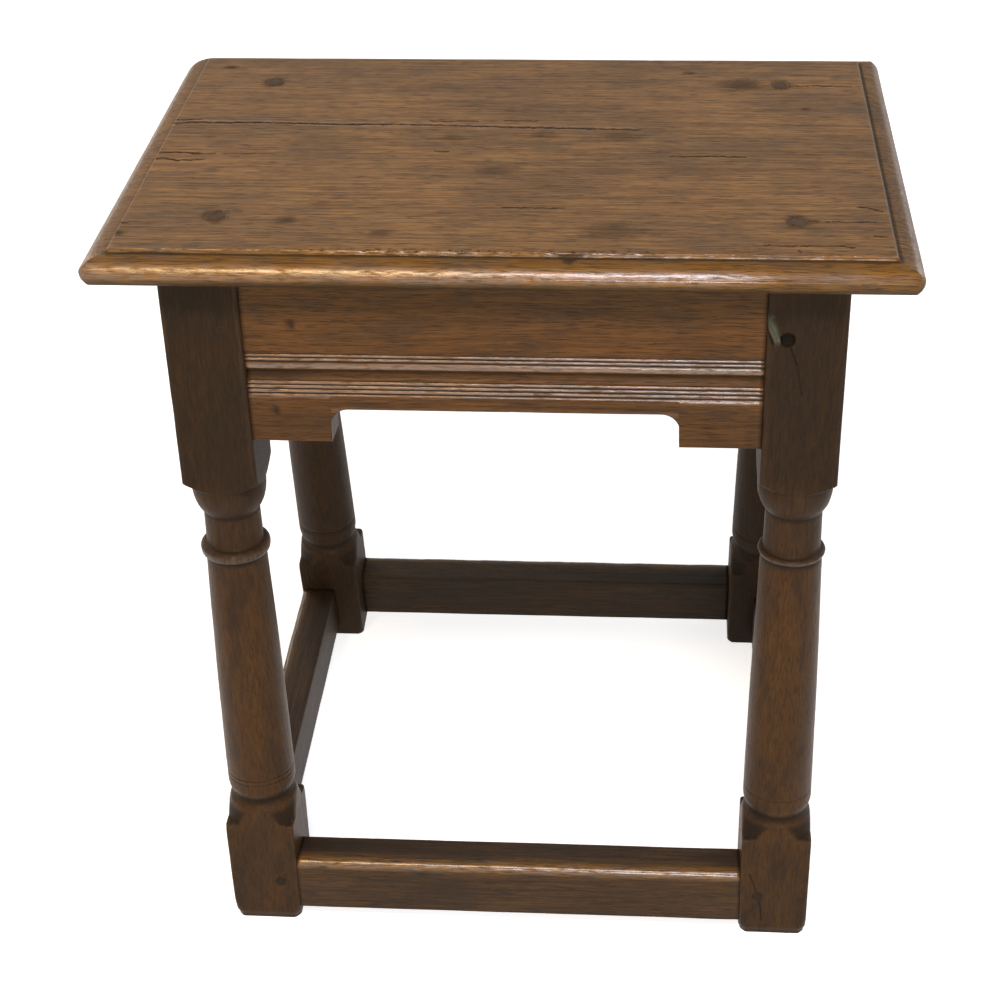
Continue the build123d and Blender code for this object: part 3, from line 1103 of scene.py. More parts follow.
# ------------------------------------------------------------------ legs
@dataclass
class TurnedLeg:
    """A leg: square where the rails and stretchers meet it, and turned between."""

    face: Face                  # FRONT or BACK
    hand: Face                  # LEFT or RIGHT
    shoulder: float             # height of the upper square's foot
    ring_top: float
    ring_foot: float
    ring_radius: float
    column_foot: float          # height of the column's fullest part
    seed: float
    scribes: tuple[float, ...] = (7.0,)     # lines above the column's foot
    scribe_depth: float = 0.35
    segments: int = 128
    crowding: float = 1.6       # draws the segments in towards the arrises
    cup_radius: float = 23.7
    lip_radius: float = 18.6
    neck_radius: float = 17.8
    above_ring_radius: float = 18.2
    below_ring_radius: float = 19.4
    middle_radius: float = 22.1     # of the column, at COLUMN_MIDDLE
    column_radius: float = 23.3     # of the column where it is fullest
    cove_radius: float = 20.7
    bead_radius: float = 23.7
    ledge_radius: float = 27.0
    toe_radius: float = 29.6        # the foot's corners are worn away to this
    SHAKES: ClassVar[tuple[tuple[Point2, ...], ...]] = (
        # distances out from the shoulder, each with its height
        ((14.5, 462.0), (19.0, 450.0), (22.5, 431.0)),
        ((6.0, 56.0), (9.5, 46.0), (12.5, 35.0), (15.0, 24.0), (16.0, 13.0)),
    )
    cuts: list[Point2] = field(default_factory=list)

    def __post_init__(self) -> None:
        """Draws the lathe's cut."""
        self.cuts = self.lathe_cut()

    @property
    def name(self) -> str:
        """The leg's node."""
        return f"leg_{self.face.word}_{self.hand.word}"

    @property
    def side(self) -> Side:
        """The side of the frame that the leg leans with."""
        return Side(self.face)

    @property
    def direction(self) -> float:
        """Which end of its side the leg stands at, as -1 or 1."""
        return -1.0 if (self.face is Face.FRONT) == (self.hand is Face.LEFT) else 1.0

    @property
    def stance(self) -> Matrix:
        """Where the leg stands on its side.

        Returns:
            The transform from the leg's own millimetres to its side's.
        """
        out = self.direction * (FRAME_LENGTH - LEG_SIDE) / 2
        lean = Matrix.Rotation(-self.direction * END_SPLAY, 4, "Y")
        return Matrix.Translation((out, LEG_SIDE / 2, 0)) @ lean

    def lathe_cut(self) -> list[Point2]:
        """The lathe's cut from the top down, as a radius at each height.

        Returns:
            Pairs of height and radius.
        """
        s, lip = self.shoulder, self.shoulder - CUP_HEIGHT
        ring_top, ring_foot, ring = self.ring_top, self.ring_foot, self.ring_radius
        ring_middle = 0.5 * (ring_top + ring_foot)
        foot, bead = self.column_foot, self.column_foot - 14.5
        pen = Pen((FRAME_TOP + 15.0, OUTSIDE))
        pen.line((s + 6.0, OUTSIDE), 48)
        pen.line((s + 1.7, OUTSIDE), 3)
        pen.line((s - 7.6, self.cup_radius), 20)
        pen.bend((lip + 6.5, self.cup_radius), (lip, self.lip_radius), 20)
        pen.line((lip - 1.4, self.neck_radius), 3)
        pen.line((ring_top, self.above_ring_radius), 8)
        pen.bend((ring_top - 0.3, ring + 0.6), (ring_middle, ring + 0.3), 8)
        pen.bend((ring_foot + 0.3, ring + 0.1), (ring_foot, ring - 1.4), 8)
        pen.line((ring_foot - 1.0, self.below_ring_radius), 4)
        pen.arc((COLUMN_MIDDLE, self.middle_radius), (foot, self.column_radius), 50)
        pen.arc((foot - 5.4, 22.6), (foot - 9.5, self.cove_radius), 12)
        pen.bend((bead + 1.6, self.cove_radius), (bead, 22.2), 8)
        pen.bend((bead - 1.2, 23.3), (bead - 3.0, self.bead_radius), 5)
        pen.line((FOOT_LEDGE, self.ledge_radius), 8)
        pen.line((FOOT_LEDGE - 1.0, OUTSIDE), 3)
        pen.line((11.0, OUTSIDE), 24)
        pen.line((0.0, self.toe_radius), 8)
        pen.line((-6.0, 29.4), 2)
        extra = []
        for height in self.scribes:
            middle = self.column_foot + height
            extra += [(middle + d, self._plain_radius(pen.points, middle + d)) for d in (-0.5, 0, 0.5)]
        return sorted(pen.points + extra, key=lambda cut: -cut[0])

    @staticmethod
    def _plain_radius(cuts: Sequence[Point2], height: float) -> float:
        """The radius of a cut at a height.

        Args:
            cuts: the cut, from the top down, as a radius at each height.
            height: above the floor.

        Returns:
            The radius.
        """
        for (h0, r0), (h1, r1) in zip(cuts, cuts[1:]):
            if h1 <= height <= h0:
                return r1 + (r0 - r1) * (height - h1) / max(h0 - h1, 1e-6)
        return cuts[-1][1]

    def _square(self, angle: float, height: float) -> tuple[float, float]:
        """The square stock at an angle, with its arris rubbed round.

        Args:
            angle: round the leg, in radians.
            height: above the floor.

        Returns:
            The radius, and how near the arris is, from 0 to 1.
        """
        c, s = abs(math.cos(angle)), abs(math.sin(angle))
        corner = round((angle - math.pi / 4) / (math.pi / 2))
        lane = self.seed + 3.7 * corner
        rub = 0.8 + 0.6 * ease(wander(height / 21.0, lane), -0.3, 0.8)
        rub += 3.0 * max(wander(height / 6.5, lane, 2.0) - 0.45, 0.0)
        rub += 3.2 * ease(height, 16.0, 2.0) + 1.6 * ease(height, FOOT_LEDGE - 5.0, FOOT_LEDGE)
        half = LEG_SIDE / 2 - 1.1 * ease(height, 3.5, 0.0)
        flat = half / max(c, s)
        inner = half - rub
        if flat * min(c, s) <= inner:
            return flat, ease(flat * min(c, s), inner - 0.8, inner)
        along = inner * (c + s)
        return along + math.sqrt(max(along * along - 2 * inner * inner + rub * rub, 0.0)), 1.0

    def build(self) -> bpy.types.Object:
        """Makes the leg.

        Returns:
            The finished piece.
        """
        bm = bmesh.new()
        marks = Marks(bm)
        bmesh.ops.create_circle(bm, segments=self.segments, radius=1.0)
        quarter = math.pi / 2
        for vert in bm.verts:
            angle = math.atan2(vert.co.y, vert.co.x)
            corner = (math.floor(angle / quarter) + 0.5) * quarter
            off = (angle - corner) / (quarter / 2)
            angle = corner + math.copysign(abs(off) ** self.crowding, off) * quarter / 2
            vert.co = (math.cos(angle), math.sin(angle), 0)
        verts, ring = list(bm.verts), list(bm.edges)
        for number, (height, cut) in enumerate(self.cuts):
            if number:
                verts, ring = next_ring(bm, ring)
            self._place_ring(marks, verts, height, cut)
        Weather(seed=self.seed, swell=0.32, nick=0.6).work(bm)
        self._damage(bm, marks)
        bmesh.ops.transform(bm, matrix=self.side.place @ self.stance, verts=bm.verts)
        for height, up in ((FRAME_TOP, 1), (0.0, -1)):
            geometry = [*bm.verts, *bm.edges, *bm.faces]
            bmesh.ops.bisect_plane(
                bm, geom=geometry, dist=1e-4, plane_co=(0, 0, height), plane_no=(0, 0, up),
                clear_outer=True,
            )
            bmesh.ops.holes_fill(bm, edges=[edge for edge in bm.edges if edge.is_boundary])
        return hand_over(bm, f"{self.name}_worn", self.name, LEG_OAK, Grain.UPRIGHT)

    def _place_ring(self, marks: Marks, verts: Iterable[BMVert], height: float, cut: float) -> None:
        """Puts one ring of the leg where the lathe or the square leaves it.

        Args:
            marks: the leg's marks.
            verts: the ring's vertices.
            height: the ring's height.
            cut: the lathe's radius there.
        """
        z = (height - FRAME_TOP + LEG_SIDE / 2 * math.sin(SPLAY)) / math.cos(SPLAY)
        scribe = max(
            (1.0 - abs(height - self.column_foot - above) / 0.45 for above in self.scribes), default=0
        )
        cut -= self.scribe_depth * max(scribe, 0.0)
        block = ease(height, self.shoulder - 18.0, self.shoulder + 4.0)
        stain_and_back_shade = 0.5 * block + 0.22 * ease(height, FOOT_LEDGE + 10.0, FOOT_LEDGE - 10.0)
        # the back legs are painted darker all over, as shade
        if self.face is Face.BACK:
            stain_and_back_shade = 0.5 + 0.4 * stain_and_back_shade
        column = ease(height, self.ring_foot, self.ring_foot - 8.0) * (1.0 - block)
        # the local dirt here takes the turning's darkening together with the stain and the back legs' painted
        # shade
        dirt = max(self._dirt(height, max(scribe, 0.0)), stain_and_back_shade)
        for vert in verts:
            angle = math.atan2(vert.co.y, vert.co.x)
            flat, arris = self._square(angle, height)
            turned = cut * (1.0 + 0.006 * math.cos(2.0 * (angle - self.seed)))
            radius = soft_min(flat, turned, 0.9)
            vert.co = (radius * math.cos(angle), radius * math.sin(angle), z)
            squared = ease(turned - flat, -0.2, 0.8)
            edge = ease(abs(turned - flat), 0.9, 0.1) if height > self.shoulder - 3.0 else 0.0
            on_ring = ease(height, self.ring_foot, self.ring_foot + 1.0)
            on_ring *= ease(height, self.ring_top - 1.0, 0.5 * (self.ring_top + self.ring_foot))
            rubbed = max(0.12 * arris * squared, 0.3 * edge, 0.5 * on_ring)
            notch = ease(flat - turned, 0.4, 2.0) * ease(height, FOOT_LEDGE + 13.0, FOOT_LEDGE + 8.0)
            notch *= ease(height, FOOT_LEDGE - 8.0, FOOT_LEDGE - 1.0)
            marks.put(
                vert, worn=rubbed, polish=0.45 * column,
                grime=max(dirt * (1.0 - 0.6 * rubbed), 0.8 * notch),
            )

    def _dirt(self, height: float, scribe: float) -> float:
        """How dark the turning is at a height.

        Packed dirt lies at the lip and over the ring; the bands under the ring and in the cove above the foot
        are darkened too.

        Args:
            height: above the floor.
            scribe: how deep in a scribed line this is.

        Returns:
            A share from 0 to 1.
        """
        lip, foot = self.shoulder - CUP_HEIGHT, self.column_foot
        beds = (
            # height, spread and amount
            (lip - 1.6, 1.0, 0.8), (self.ring_top + 0.4, 1.2, 0.6), (self.ring_foot - 1.2, 0.9, 0.7),
            (foot - 10.5, 3.6, 0.85),
        )
        found = max(amount * math.exp(-(((height - bed) / spread) ** 2)) for bed, spread, amount in beds)
        return max(found, 0.8 * scribe)

    def _damage(self, bm: BMesh, marks: Marks) -> None:
        """Cuts the breaks that the two front legs have.

        Args:
            bm: the leg, in its own millimetres.
            marks: its marks.
        """
        if self.face is not Face.FRONT:
            return
        if self.hand is Face.RIGHT:
            self._empty_peg_hole(bm, marks)
            for path in self.SHAKES:
                self._shake(bm, marks, [self._on_face(out, height) for out, height in path])
        else:
            spot = Vector((19.5, -21.0, self.side.z(360.0)))
            self._pare(bm, marks, spot, Vector((0.5, -0.45, -0.75)), 11.0)

    def _on_face(self, out: float, height: float) -> Vector:
        """A point of the leg's outer face.

        Args:
            out: how far it is from the shoulder line, towards the stool's end.
            height: above the floor.

        Returns:
            The point, in the leg's own millimetres.
        """
        z = self.side.z(height)
        place = Vector((self.direction * (self.side.shoulder(z) + out), 0.0, z))
        return self.stance.inverted() @ place

    @staticmethod
    def _shake(bm: BMesh, marks: Marks, path: Sequence[Vector]) -> None:
        """Opens a hairline shake along a path on the outer face.

        Args:
            bm: the leg.
            marks: its marks.
            path: points on the face.
        """

        def gap(place: Vector) -> float:
            """How far a place of the outer face is from the shake.

            Args:
                place: the place, in the leg's own millimetres.

            Returns:
                The distance, or a long one for a place on another face.
            """
            if place.y > 3.0 - LEG_SIDE / 2:
                return LEG_SIDE
            best = LEG_SIDE
            for start, end in zip(path, path[1:]):
                run = Vector((end.x - start.x, 0.0, end.z - start.z))
                off = Vector((place.x - start.x, 0.0, place.z - start.z))
                share = min(max(off.dot(run) / run.length_squared, 0.0), 1.0)
                best = min(best, (off - share * run).length)
            return best

        refine(bm, lambda middle: gap(middle) < 3.2, 4)
        for vert in bm.verts:
            near = gap(vert.co)
            if near < 2.0:
                vert.co.y += 0.5 * ease(near, 0.7, 0.1)
                stained = 1.0 + 0.5 * wander(vert.co.z / 3.0)
                marks.deepen(vert, grime=0.85 * ease(near, stained, 0.1))

    def _pare(self, bm: BMesh, marks: Marks, spot: Vector, out: Vector, reach: float) -> None:
        """Pares the wood that stands beyond a plane, near a spot.

        Args:
            bm: the leg.
            marks: its marks.
            spot: a point on the plane.
            out: the way that the plane faces.
            reach: how far from the spot the paring goes.
        """
        out = out.normalized()
        refine(bm, lambda middle: (middle - spot).length < reach, 2)
        for vert in bm.verts:
            beyond = (vert.co - spot).dot(out)
            near = ease((vert.co - spot).length, reach, 0.55 * reach)
            if beyond > 0 and near > 0:
                vert.co -= out * beyond * near
                marks.deepen(vert, grime=0.8 * near * ease(beyond, 0.0, 0.5))

    def _empty_peg_hole(self, bm: BMesh, marks: Marks) -> None:
        """Opens the hole over the sunk peg, and the break that runs from it to the arris.

        Args:
            bm: the leg, in its own millimetres.
            marks: its marks.
        """
        height = self.side.z(RAIL_PEG_HEIGHTS[-1])
        hole = Vector((self.side.shoulder(height) + PEG_FROM_SHOULDER, 0.0, height))
        cx, _, cz = self.stance.inverted() @ hole
        front = -LEG_SIDE / 2

        def beside(place: Vector, reach: float) -> bool:
            """Whether a place of the outer face is within reach of the hole."""
            return place.y < front + 3.0 and math.hypot(place.x - cx, place.z - cz) < reach

        refine(bm, lambda middle: beside(middle, 17.0), 3)
        lean = math.radians(22.0)
        for vert in bm.verts:
            if not beside(vert.co, 20.0):
                continue
            dx, dz = vert.co.x - cx, vert.co.z - cz
            gap = math.hypot(dx, dz)
            up = -dx * math.sin(lean) + dz * math.cos(lean)
            over = dx * math.cos(lean) + dz * math.sin(lean)
            deep = 4.3 * ease(gap, 4.7, 3.9)
            chip = ease(up, -1.0, 1.0) * ease(up, 20.5, 15.0)
            chip *= ease(over, -9.6, -8.6) * ease(over, -1.4, -4.6)
            fresh = chip * (0.75 + 0.8 * wander(over / 0.9, up / 6.0, 3.0)) * (1.0 - ease(deep, 0.2, 1.0))
            vert.co.y += max(deep, 2.3 * chip)
            # the hole is darkened with its depth: dirt in it, and painted shade
            marks.deepen(
                vert, grime=max(ease(deep, 0.3, 1.8), 0.9 * ease(over, -7.6, -8.8) * ease(chip, 0.1, 0.5)),
                bare=fresh * ease(over, -8.8, -7.4),
            )


# ------------------------------------------------------------------ rails and stretchers
@dataclass
class Member:
    """A rail or a stretcher: one section carried from leg to leg, with a tenon at each end."""

    face: Face
    spacing: float = 2.8        # between the rings along it
    tenon: float = 28.0
    tenon_thickness: float = 8.5
    tenon_setin: float = 9.5
    relish: float = 8.0         # kept above and below the tenon

    @property
    def side(self) -> Side:
        """The side of the frame that it belongs to."""
        return Side(self.face)

    @property
    def grain(self) -> Grain:
        """The way its grain runs."""
        return Grain.LENGTHWAYS if self.side.is_long else Grain.FRONT_TO_BACK

    def stations(self) -> list[float]:
        """Where the rings stand, as shares of half the length."""
        count = math.ceil(2 * self.side.half_top / self.spacing)
        return [2.0 * k / count - 1.0 for k in range(count + 1)]

    def carry(self, bm: BMesh, section: list[Point2], place: Callable[[float, float, float], Vector]) -> None:
        """Carries a closed section along the member and closes its ends.

        Args:
            bm: an empty mesh.
            section: depth and height of each point, in the side's own millimetres.
            place: puts a point of the section at a station.
        """
        row = bm.verts.layers.int.new("row")
        bmesh.ops.create_circle(bm, segments=len(section), radius=1.0)
        bm.verts.ensure_lookup_table()
        for number, vert in enumerate(bm.verts):
            vert[row] = number
        verts, ring = list(bm.verts), list(bm.edges)
        for number, share in enumerate(self.stations()):
            if number:
                verts, ring = next_ring(bm, ring)
            for vert in verts:
                vert.co = place(share, *section[vert[row]])
        bmesh.ops.holes_fill(bm, edges=[edge for edge in bm.edges if edge.is_boundary])
        bmesh.ops.recalc_face_normals(bm, faces=bm.faces)
        bm.verts.layers.int.remove(row)

    def add_tenons(self, bm: BMesh, low: float, high: float) -> None:
        """Adds the tenon at each end.

        Args:
            bm: the member.
            low: z of the tenon's lower edge.
            high: z of its upper edge.
        """
        root = 2.0
        for end in (-1, 1):
            for vert in bmesh.ops.create_cube(bm, size=1.0)["verts"]:
                z = high if vert.co.z > 0 else low
                reach = self.tenon if vert.co.x > 0 else -root
                y = self.tenon_setin + (self.tenon_thickness if vert.co.y > 0 else 0.0)
                vert.co = (end * (self.side.shoulder(z) + reach), y, z)


@dataclass
class FriezeRail(Member):
    """A rail under the seat: run moulding along its face and a flat arch below."""

    bottom: float = 393.7
    thickness: float = 24.0
    setback: float = 0.8        # behind the legs' faces
    run_top: float = 453.4
    arch_rise: float = 22.4
    arch_share: float = 0.68
    arch_radius: float = 11.0
    arch_steps: int = 12        # round each corner of the arch
    arch_rub: float = 155.0     # how far along the rail its lower edge may be rubbed, over the arch
    run_edge: float = 0.5       # bevel at the top and foot of the run moulding
    quirk: float = 0.75         # depth of the narrow grooves between the reeds
    quirk_width: float = 0.6
    reeds_above: tuple[float, ...] = (2.0, 2.0)
    crown: float = 6.4          # swelling above the hollow
    hollow: float = 6.2
    hollow_depth: float = 2.6
    reeds_below: tuple[float, ...] = (2.3, 2.2, 2.4)
    knots: tuple[tuple[float, float, float], ...] = ((-125.0, 472.4, 3.4), (-138.8, 415.4, 3.2))

    @property
    def name(self) -> str:
        """The rail's node."""
        return f"rail_{self.face.word}"

    def stations(self) -> list[float]:
        """Where the rings stand, closer round the arch's corners.

        Returns:
            The rings' places, as shares of half the length.
        """
        half = self.side.shoulder(self.side.z(self.bottom))
        edge = self.arch_share
        turn = edge - self.arch_radius / half
        spots = set(super().stations())
        spots = {s for s in spots if not turn - 0.004 < abs(s) < edge + 0.008}
        wall = 0.12 / half
        for k in range(self.arch_steps + 1):
            angle = math.pi / 2 * k / self.arch_steps
            spots |= {s * (turn + (edge - turn) * math.sin(angle) - wall) for s in (-1, 1)}
        spots |= {s * (edge + d) for s in (-1, 1) for d in (wall, 1.0 / half)}
        return sorted(spots)

    def arch_z(self, share: float) -> float:
        """The rail's lower edge.

        Args:
            share: a station, as a share of half the length.

        Returns:
            The edge's z.
        """
        base = self.side.z(self.bottom)
        half = self.side.shoulder(base)
        x = abs(share) * half
        wide = self.arch_share * half
        if x > wide:
            return base
        over = max(x - (wide - self.arch_radius), 0.0)
        drop = self.arch_radius - math.sqrt(max(self.arch_radius ** 2 - over * over, 0.0))
        return base + self.arch_rise - drop

    def run_foot(self) -> float:
        """The z where the run moulding ends."""
        reeds = sum(reed + self.quirk_width for reed in (*self.reeds_above, *self.reeds_below))
        return self.side.z(self.run_top) - reeds - self.crown - self.hollow - 2.0 * self.run_edge

    def section(self) -> list[Point2]:
        """The section, down the face, under and up the back, as depth and height.

        Returns:
            The points of the closed section.
        """
        face, back = self.setback, self.setback + self.thickness
        slope = math.tan(self.side.lean)
        base = self.side.z(self.bottom)
        quirk, deep = face + self.quirk, face + self.hollow_depth
        gap = self.quirk_width
        z = self.side.z(self.run_top)
        pen = Pen((face, face * slope)).line((face, z), 18).line((quirk, z - self.run_edge), 2)
        z -= self.run_edge

        def reed(height: float) -> None:
            """Draws a reed and the quirk under it.

            Args:
                height: the reed's own height.
            """
            nonlocal z
            pen.arc((face, z - height / 2), (quirk, z - height), 6)
            pen.line((quirk + 0.1, z - height - gap / 2)).line((quirk, z - height - gap))
            z -= height + gap

        for height in self.reeds_above:
            reed(height)
        pen.arc((face, z - 2.4), (deep, z - self.crown), 9)
        z -= self.crown
        pen.arc((deep + 0.5, z - 3.6), (quirk, z - self.hollow), 8)
        z -= self.hollow
        for height in self.reeds_below:
            reed(height)
        pen.line((face, z - self.run_edge), 2)
        pen.line((face, base + 1.6), 10)
        pen.arc((face + 0.4, base + 0.4), (face + 1.6, base), 4)
        pen.line((back - 1.2, base), 7)
        pen.arc((back - 0.3, base + 0.3), (back, base + 1.2), 3)
        pen.line((back, back * slope), 14)
        pen.line((face, face * slope), 4)
        return pen.points[:-1]

    def build(self) -> bpy.types.Object:
        """Makes the rail.

        Returns:
            The finished piece.
        """
        bm = bmesh.new()
        marks = Marks(bm)
        base, foot = self.side.z(self.bottom), self.run_foot()
        half = self.side.shoulder(base)

        def place(share: float, y: float, z: float) -> Vector:
            """Puts a point of the section at a station, and lifts its foot over the arch.

            Args:
                share: the station, as a share of half the length.
                y: the point's depth.
                z: its height.

            Returns:
                The point on the rail.
            """
            if z < foot:
                edge = self.arch_z(share)
                z = edge + (z - base) / (foot - base) * (foot - edge)
            inner = min(abs(share), self.arch_share)
            outer = max(abs(share) - self.arch_share, 0.0) / (1.0 - self.arch_share)
            x = inner * half + outer * (self.side.shoulder(z) - self.arch_share * half)
            return Vector((math.copysign(x, share), y, z))

        self.carry(bm, self.section(), place)
        self._dress(bm, marks)
        self.add_tenons(bm, base + self.relish, -self.relish)
        bmesh.ops.transform(bm, matrix=self.side.place, verts=bm.verts)
        return hand_over(bm, f"{self.name}_worn", self.name, RAIL_OAK, self.grain)

    def _dress(self, bm: BMesh, marks: Marks) -> None:
        """Wears the rail and marks its wax, dirt, rubbed crests and the painted shade in its hollow.

        Args:
            bm: the rail, in its side's own millimetres.
            marks: its marks.
        """
        turn = float(self.face.value)
        weather = Weather(seed=8.3 + turn, swell=0.3, swell_size=30.0, nick=0.35)
        top = self.side.z(self.run_top)
        foot = self.run_foot()
        bm.normal_update()
        for vert in bm.verts:
            x, y, z = vert.co
            normal = vert.normal.copy()
            depth = y - self.setback
            on_face = normal.y < -0.2
            in_run = foot < z < top and depth < 4.0
            quirk = ease(depth, 0.5, 0.8) * ease(depth, 1.3, 0.9)
            dirt = 0.8 * quirk if in_run else 0.0
            # painted shade in the hollow under the crown, with dirt darkening it further towards the left end
            hollow = ease(depth, 0.9, 2.4) * (0.3 + 0.45 * ease(x, -90.0, -140.0)) if in_run else 0.0
            joint = ease(self.side.shoulder(z) - abs(x), 1.6, 0.1)
            crest = ease(depth, 0.6, 0.15) if in_run else 0.0
            # the face is darkened towards its foot
            darker_to_foot = ease(z, foot, foot - 12.0)
            over_arch = abs(x) < self.arch_share * self.arch_rub
            below = ease(abs(z - self.arch_z(0.0)), 2.4, 0.6) if over_arch else 0.0
            if on_face and self.face is Face.FRONT:
                for kx, height, radius in self.knots:
                    gap = math.hypot((x - kx) / 0.9, z - self.side.z(height)) / radius
                    dirt = max(dirt, 0.85 * ease(gap + 0.3 * wander(x / 1.5, z / 1.5), 1.2, 0.6))
            marks.put(
                vert,
                grime=max(dirt, hollow, (0.5 * joint + 0.22 * darker_to_foot) if on_face else 0.0),
                worn=max(crest, 0.35 * below),
                polish=0.3 if on_face else 0.0,
            )
            if not on_face and depth > 3.0:
                marks.deepen(vert, grime=0.35)
            vert.co -= normal * weather.depth(vert.co)
            if in_run:
                vert.co.y += 0.10 * (1.0 + wander(x / 9.0, z / 2.0, turn)) * crest


@dataclass
class Stretcher(Member):
    """A plain bar near the floor, whose upper outer arris feet have worn away."""

    bottom: float = 11.4
    top: float = 54.6
    thickness: float = 27.8
    worn_radius: float = 4.5
    relish: float = 5.0
    SHADE: ClassVar[dict[Face, float]] = {
        # painted shade laid over each side's whole stretcher, least at the front
        Face.FRONT: 0.08, Face.BACK: 0.35, Face.LEFT: 0.45, Face.RIGHT: 0.3,
    }

    @property
    def name(self) -> str:
        """The stretcher's node."""
        return f"stretcher_{self.face.word}"

    def section(self) -> list[Point2]:
        """The section, down the face, under and up the back, as depth and height.

        Returns:
            The points of the closed section.
        """
        low, high = self.side.z(self.bottom), self.side.z(self.top)
        r, back, edge = self.worn_radius, self.thickness, 1.0
        curve = 1.0 - math.sqrt(0.5)
        pen = Pen((r, high)).arc((r * curve, high - r * curve), (0.0, high - r), 9)
        pen.line((0.0, low + edge), 12)
        pen.arc((edge * curve, low + edge * curve), (edge, low), 3)
        pen.line((back - edge, low), 7)
        pen.arc((back - edge * curve, low + edge * curve), (back, low + edge), 3)
        pen.line((back, high - edge), 10)
        pen.arc((back - edge * curve, high - edge * curve), (back - edge, high), 3)
        pen.line((r, high), 8)
        return pen.points[:-1]

    def build(self) -> bpy.types.Object:
        """Makes the stretcher.

        Returns:
            The finished piece.
        """
        bm = bmesh.new()
        marks = Marks(bm)

        def place(share: float, y: float, z: float) -> Vector:
            """Puts a point of the section at a station."""
            return Vector((share * self.side.shoulder(z), y, z))

        self.carry(bm, self.section(), place)
        self._dress(bm, marks)
        low, high = self.side.z(self.bottom), self.side.z(self.top)
        self.add_tenons(bm, low + self.relish, high - self.relish)
        bmesh.ops.transform(bm, matrix=self.side.place, verts=bm.verts)
        return hand_over(bm, f"{self.name}_worn", self.name, STRETCHER_OAK, self.grain)

    def _dress(self, bm: BMesh, marks: Marks) -> None:
        """Wears the bar, most of all along its upper outer arris, and lays its side's painted shade on it.

        Args:
            bm: the bar, in its side's own millimetres.
            marks: its marks.
        """
        turn = float(self.face.value)
        high = self.side.z(self.top)
        weather = Weather(seed=1.9 + turn, swell=0.45, swell_size=38.0, nick=0.6)
        painted_shade = self.SHADE[self.face]
        bm.normal_update()
        for vert in bm.verts:
            x, y, z = vert.co
            normal = vert.normal.copy()
            arris = ease(y + (high - z), 7.0, 2.6)
            joint = ease(self.side.shoulder(z) - abs(x), 1.6, 0.1)
            top = ease(high - z, 3.0, 0.5) * ease(y, 6.0, 16.0) * (0.5 + 0.5 * ease(x, 40.0, -120.0))
            # the whole bar carries its side's painted shade
            marks.put(
                vert, worn=arris * (1.0 - painted_shade), polish=0.7 * ease(y + (high - z), 12.0, 5.0),
                grime=max(0.6 * joint, painted_shade, 0.75 * top),
            )
            hollow = 0.45 * arris * (1.0 + wander(x / 26.0, turn) + 0.5 * wander(x / 7.0, turn))
            vert.co -= normal * (weather.depth(vert.co) + max(hollow, 0.0))


# ------------------------------------------------------------------ pegs
@dataclass
class Pegs:
    """The pegs that fasten one member, or the seat: riven, shaved to eight sides and tapered."""

    node: str
    radius: float
    length: float
    places: list[Matrix]        # each puts a peg's outer end at the origin, running along -Z
    finish: OldOak = PEG_OAK
    sunk: int = -1              # which of them lies deep in its hole, if any

    def build(self) -> bpy.types.Object:
        """Makes the pegs.

        Returns:
            The finished piece.
        """
        bm = bmesh.new()
        marks = Marks(bm)
        for number, place in enumerate(self.places):
            made = self._peg(bm, marks, float(number))
            # the sunk peg is painted fully dark: dirt in its hole, and painted shade
            if number == self.sunk:
                for vert in made:
                    marks.put(vert, grime=1.0)
            bmesh.ops.transform(bm, matrix=place, verts=made)
        grain = Grain.UPRIGHT if "seat" in self.node else Grain.FRONT_TO_BACK
        if "left" in self.node or "right" in self.node:
            grain = Grain.LENGTHWAYS
        return hand_over(bm, f"{self.node}_shaved", self.node, self.finish, grain)

    def _peg(self, bm: BMesh, marks: Marks, number: float) -> list[BMVert]:
        """Makes one peg, with its outer end a little domed.

        Args:
            bm: the mesh.
            marks: its marks.
            number: which peg this is, for its own shape.

        Returns:
            The peg's vertices.
        """
        taper = self.length * math.tan(PEG_TAPER)
        made = bmesh.ops.create_cone(
            bm, cap_ends=True, segments=8, radius1=self.radius - taper, radius2=self.radius,
            depth=self.length,
        )["verts"]
        bmesh.ops.translate(bm, vec=(0, 0, -self.length / 2), verts=made)
        rim = [edge for edge in bm.edges if all(v in made and v.co.z > -0.01 for v in edge.verts)]
        cut = bmesh.ops.bevel(
            bm, geom=rim, offset=0.35 * self.radius, affect="EDGES", segments=4, profile=0.5, material=-1
        )
        verts = list({*(v for v in made if v.is_valid), *cut["verts"]})
        for vert in verts:
            top = ease(vert.co.z, -0.6 * self.radius, 0.0)
            out = math.hypot(vert.co.x, vert.co.y) / self.radius
            vert.co.z = vert.co.z * 0.25 if vert.co.z > -0.5 * self.radius else vert.co.z
            shift = 0.05 * self.radius * wander(vert.co.x + number, vert.co.y, number)
            vert.co.x += shift
            vert.co.y -= shift
            smudge = 0.45 + 0.45 * wander(vert.co.x / 3.0, vert.co.y / 3.0, number)
            marks.put(vert, grime=max(0.35 * ease(out, 0.75, 1.0), smudge) * top)
        return verts


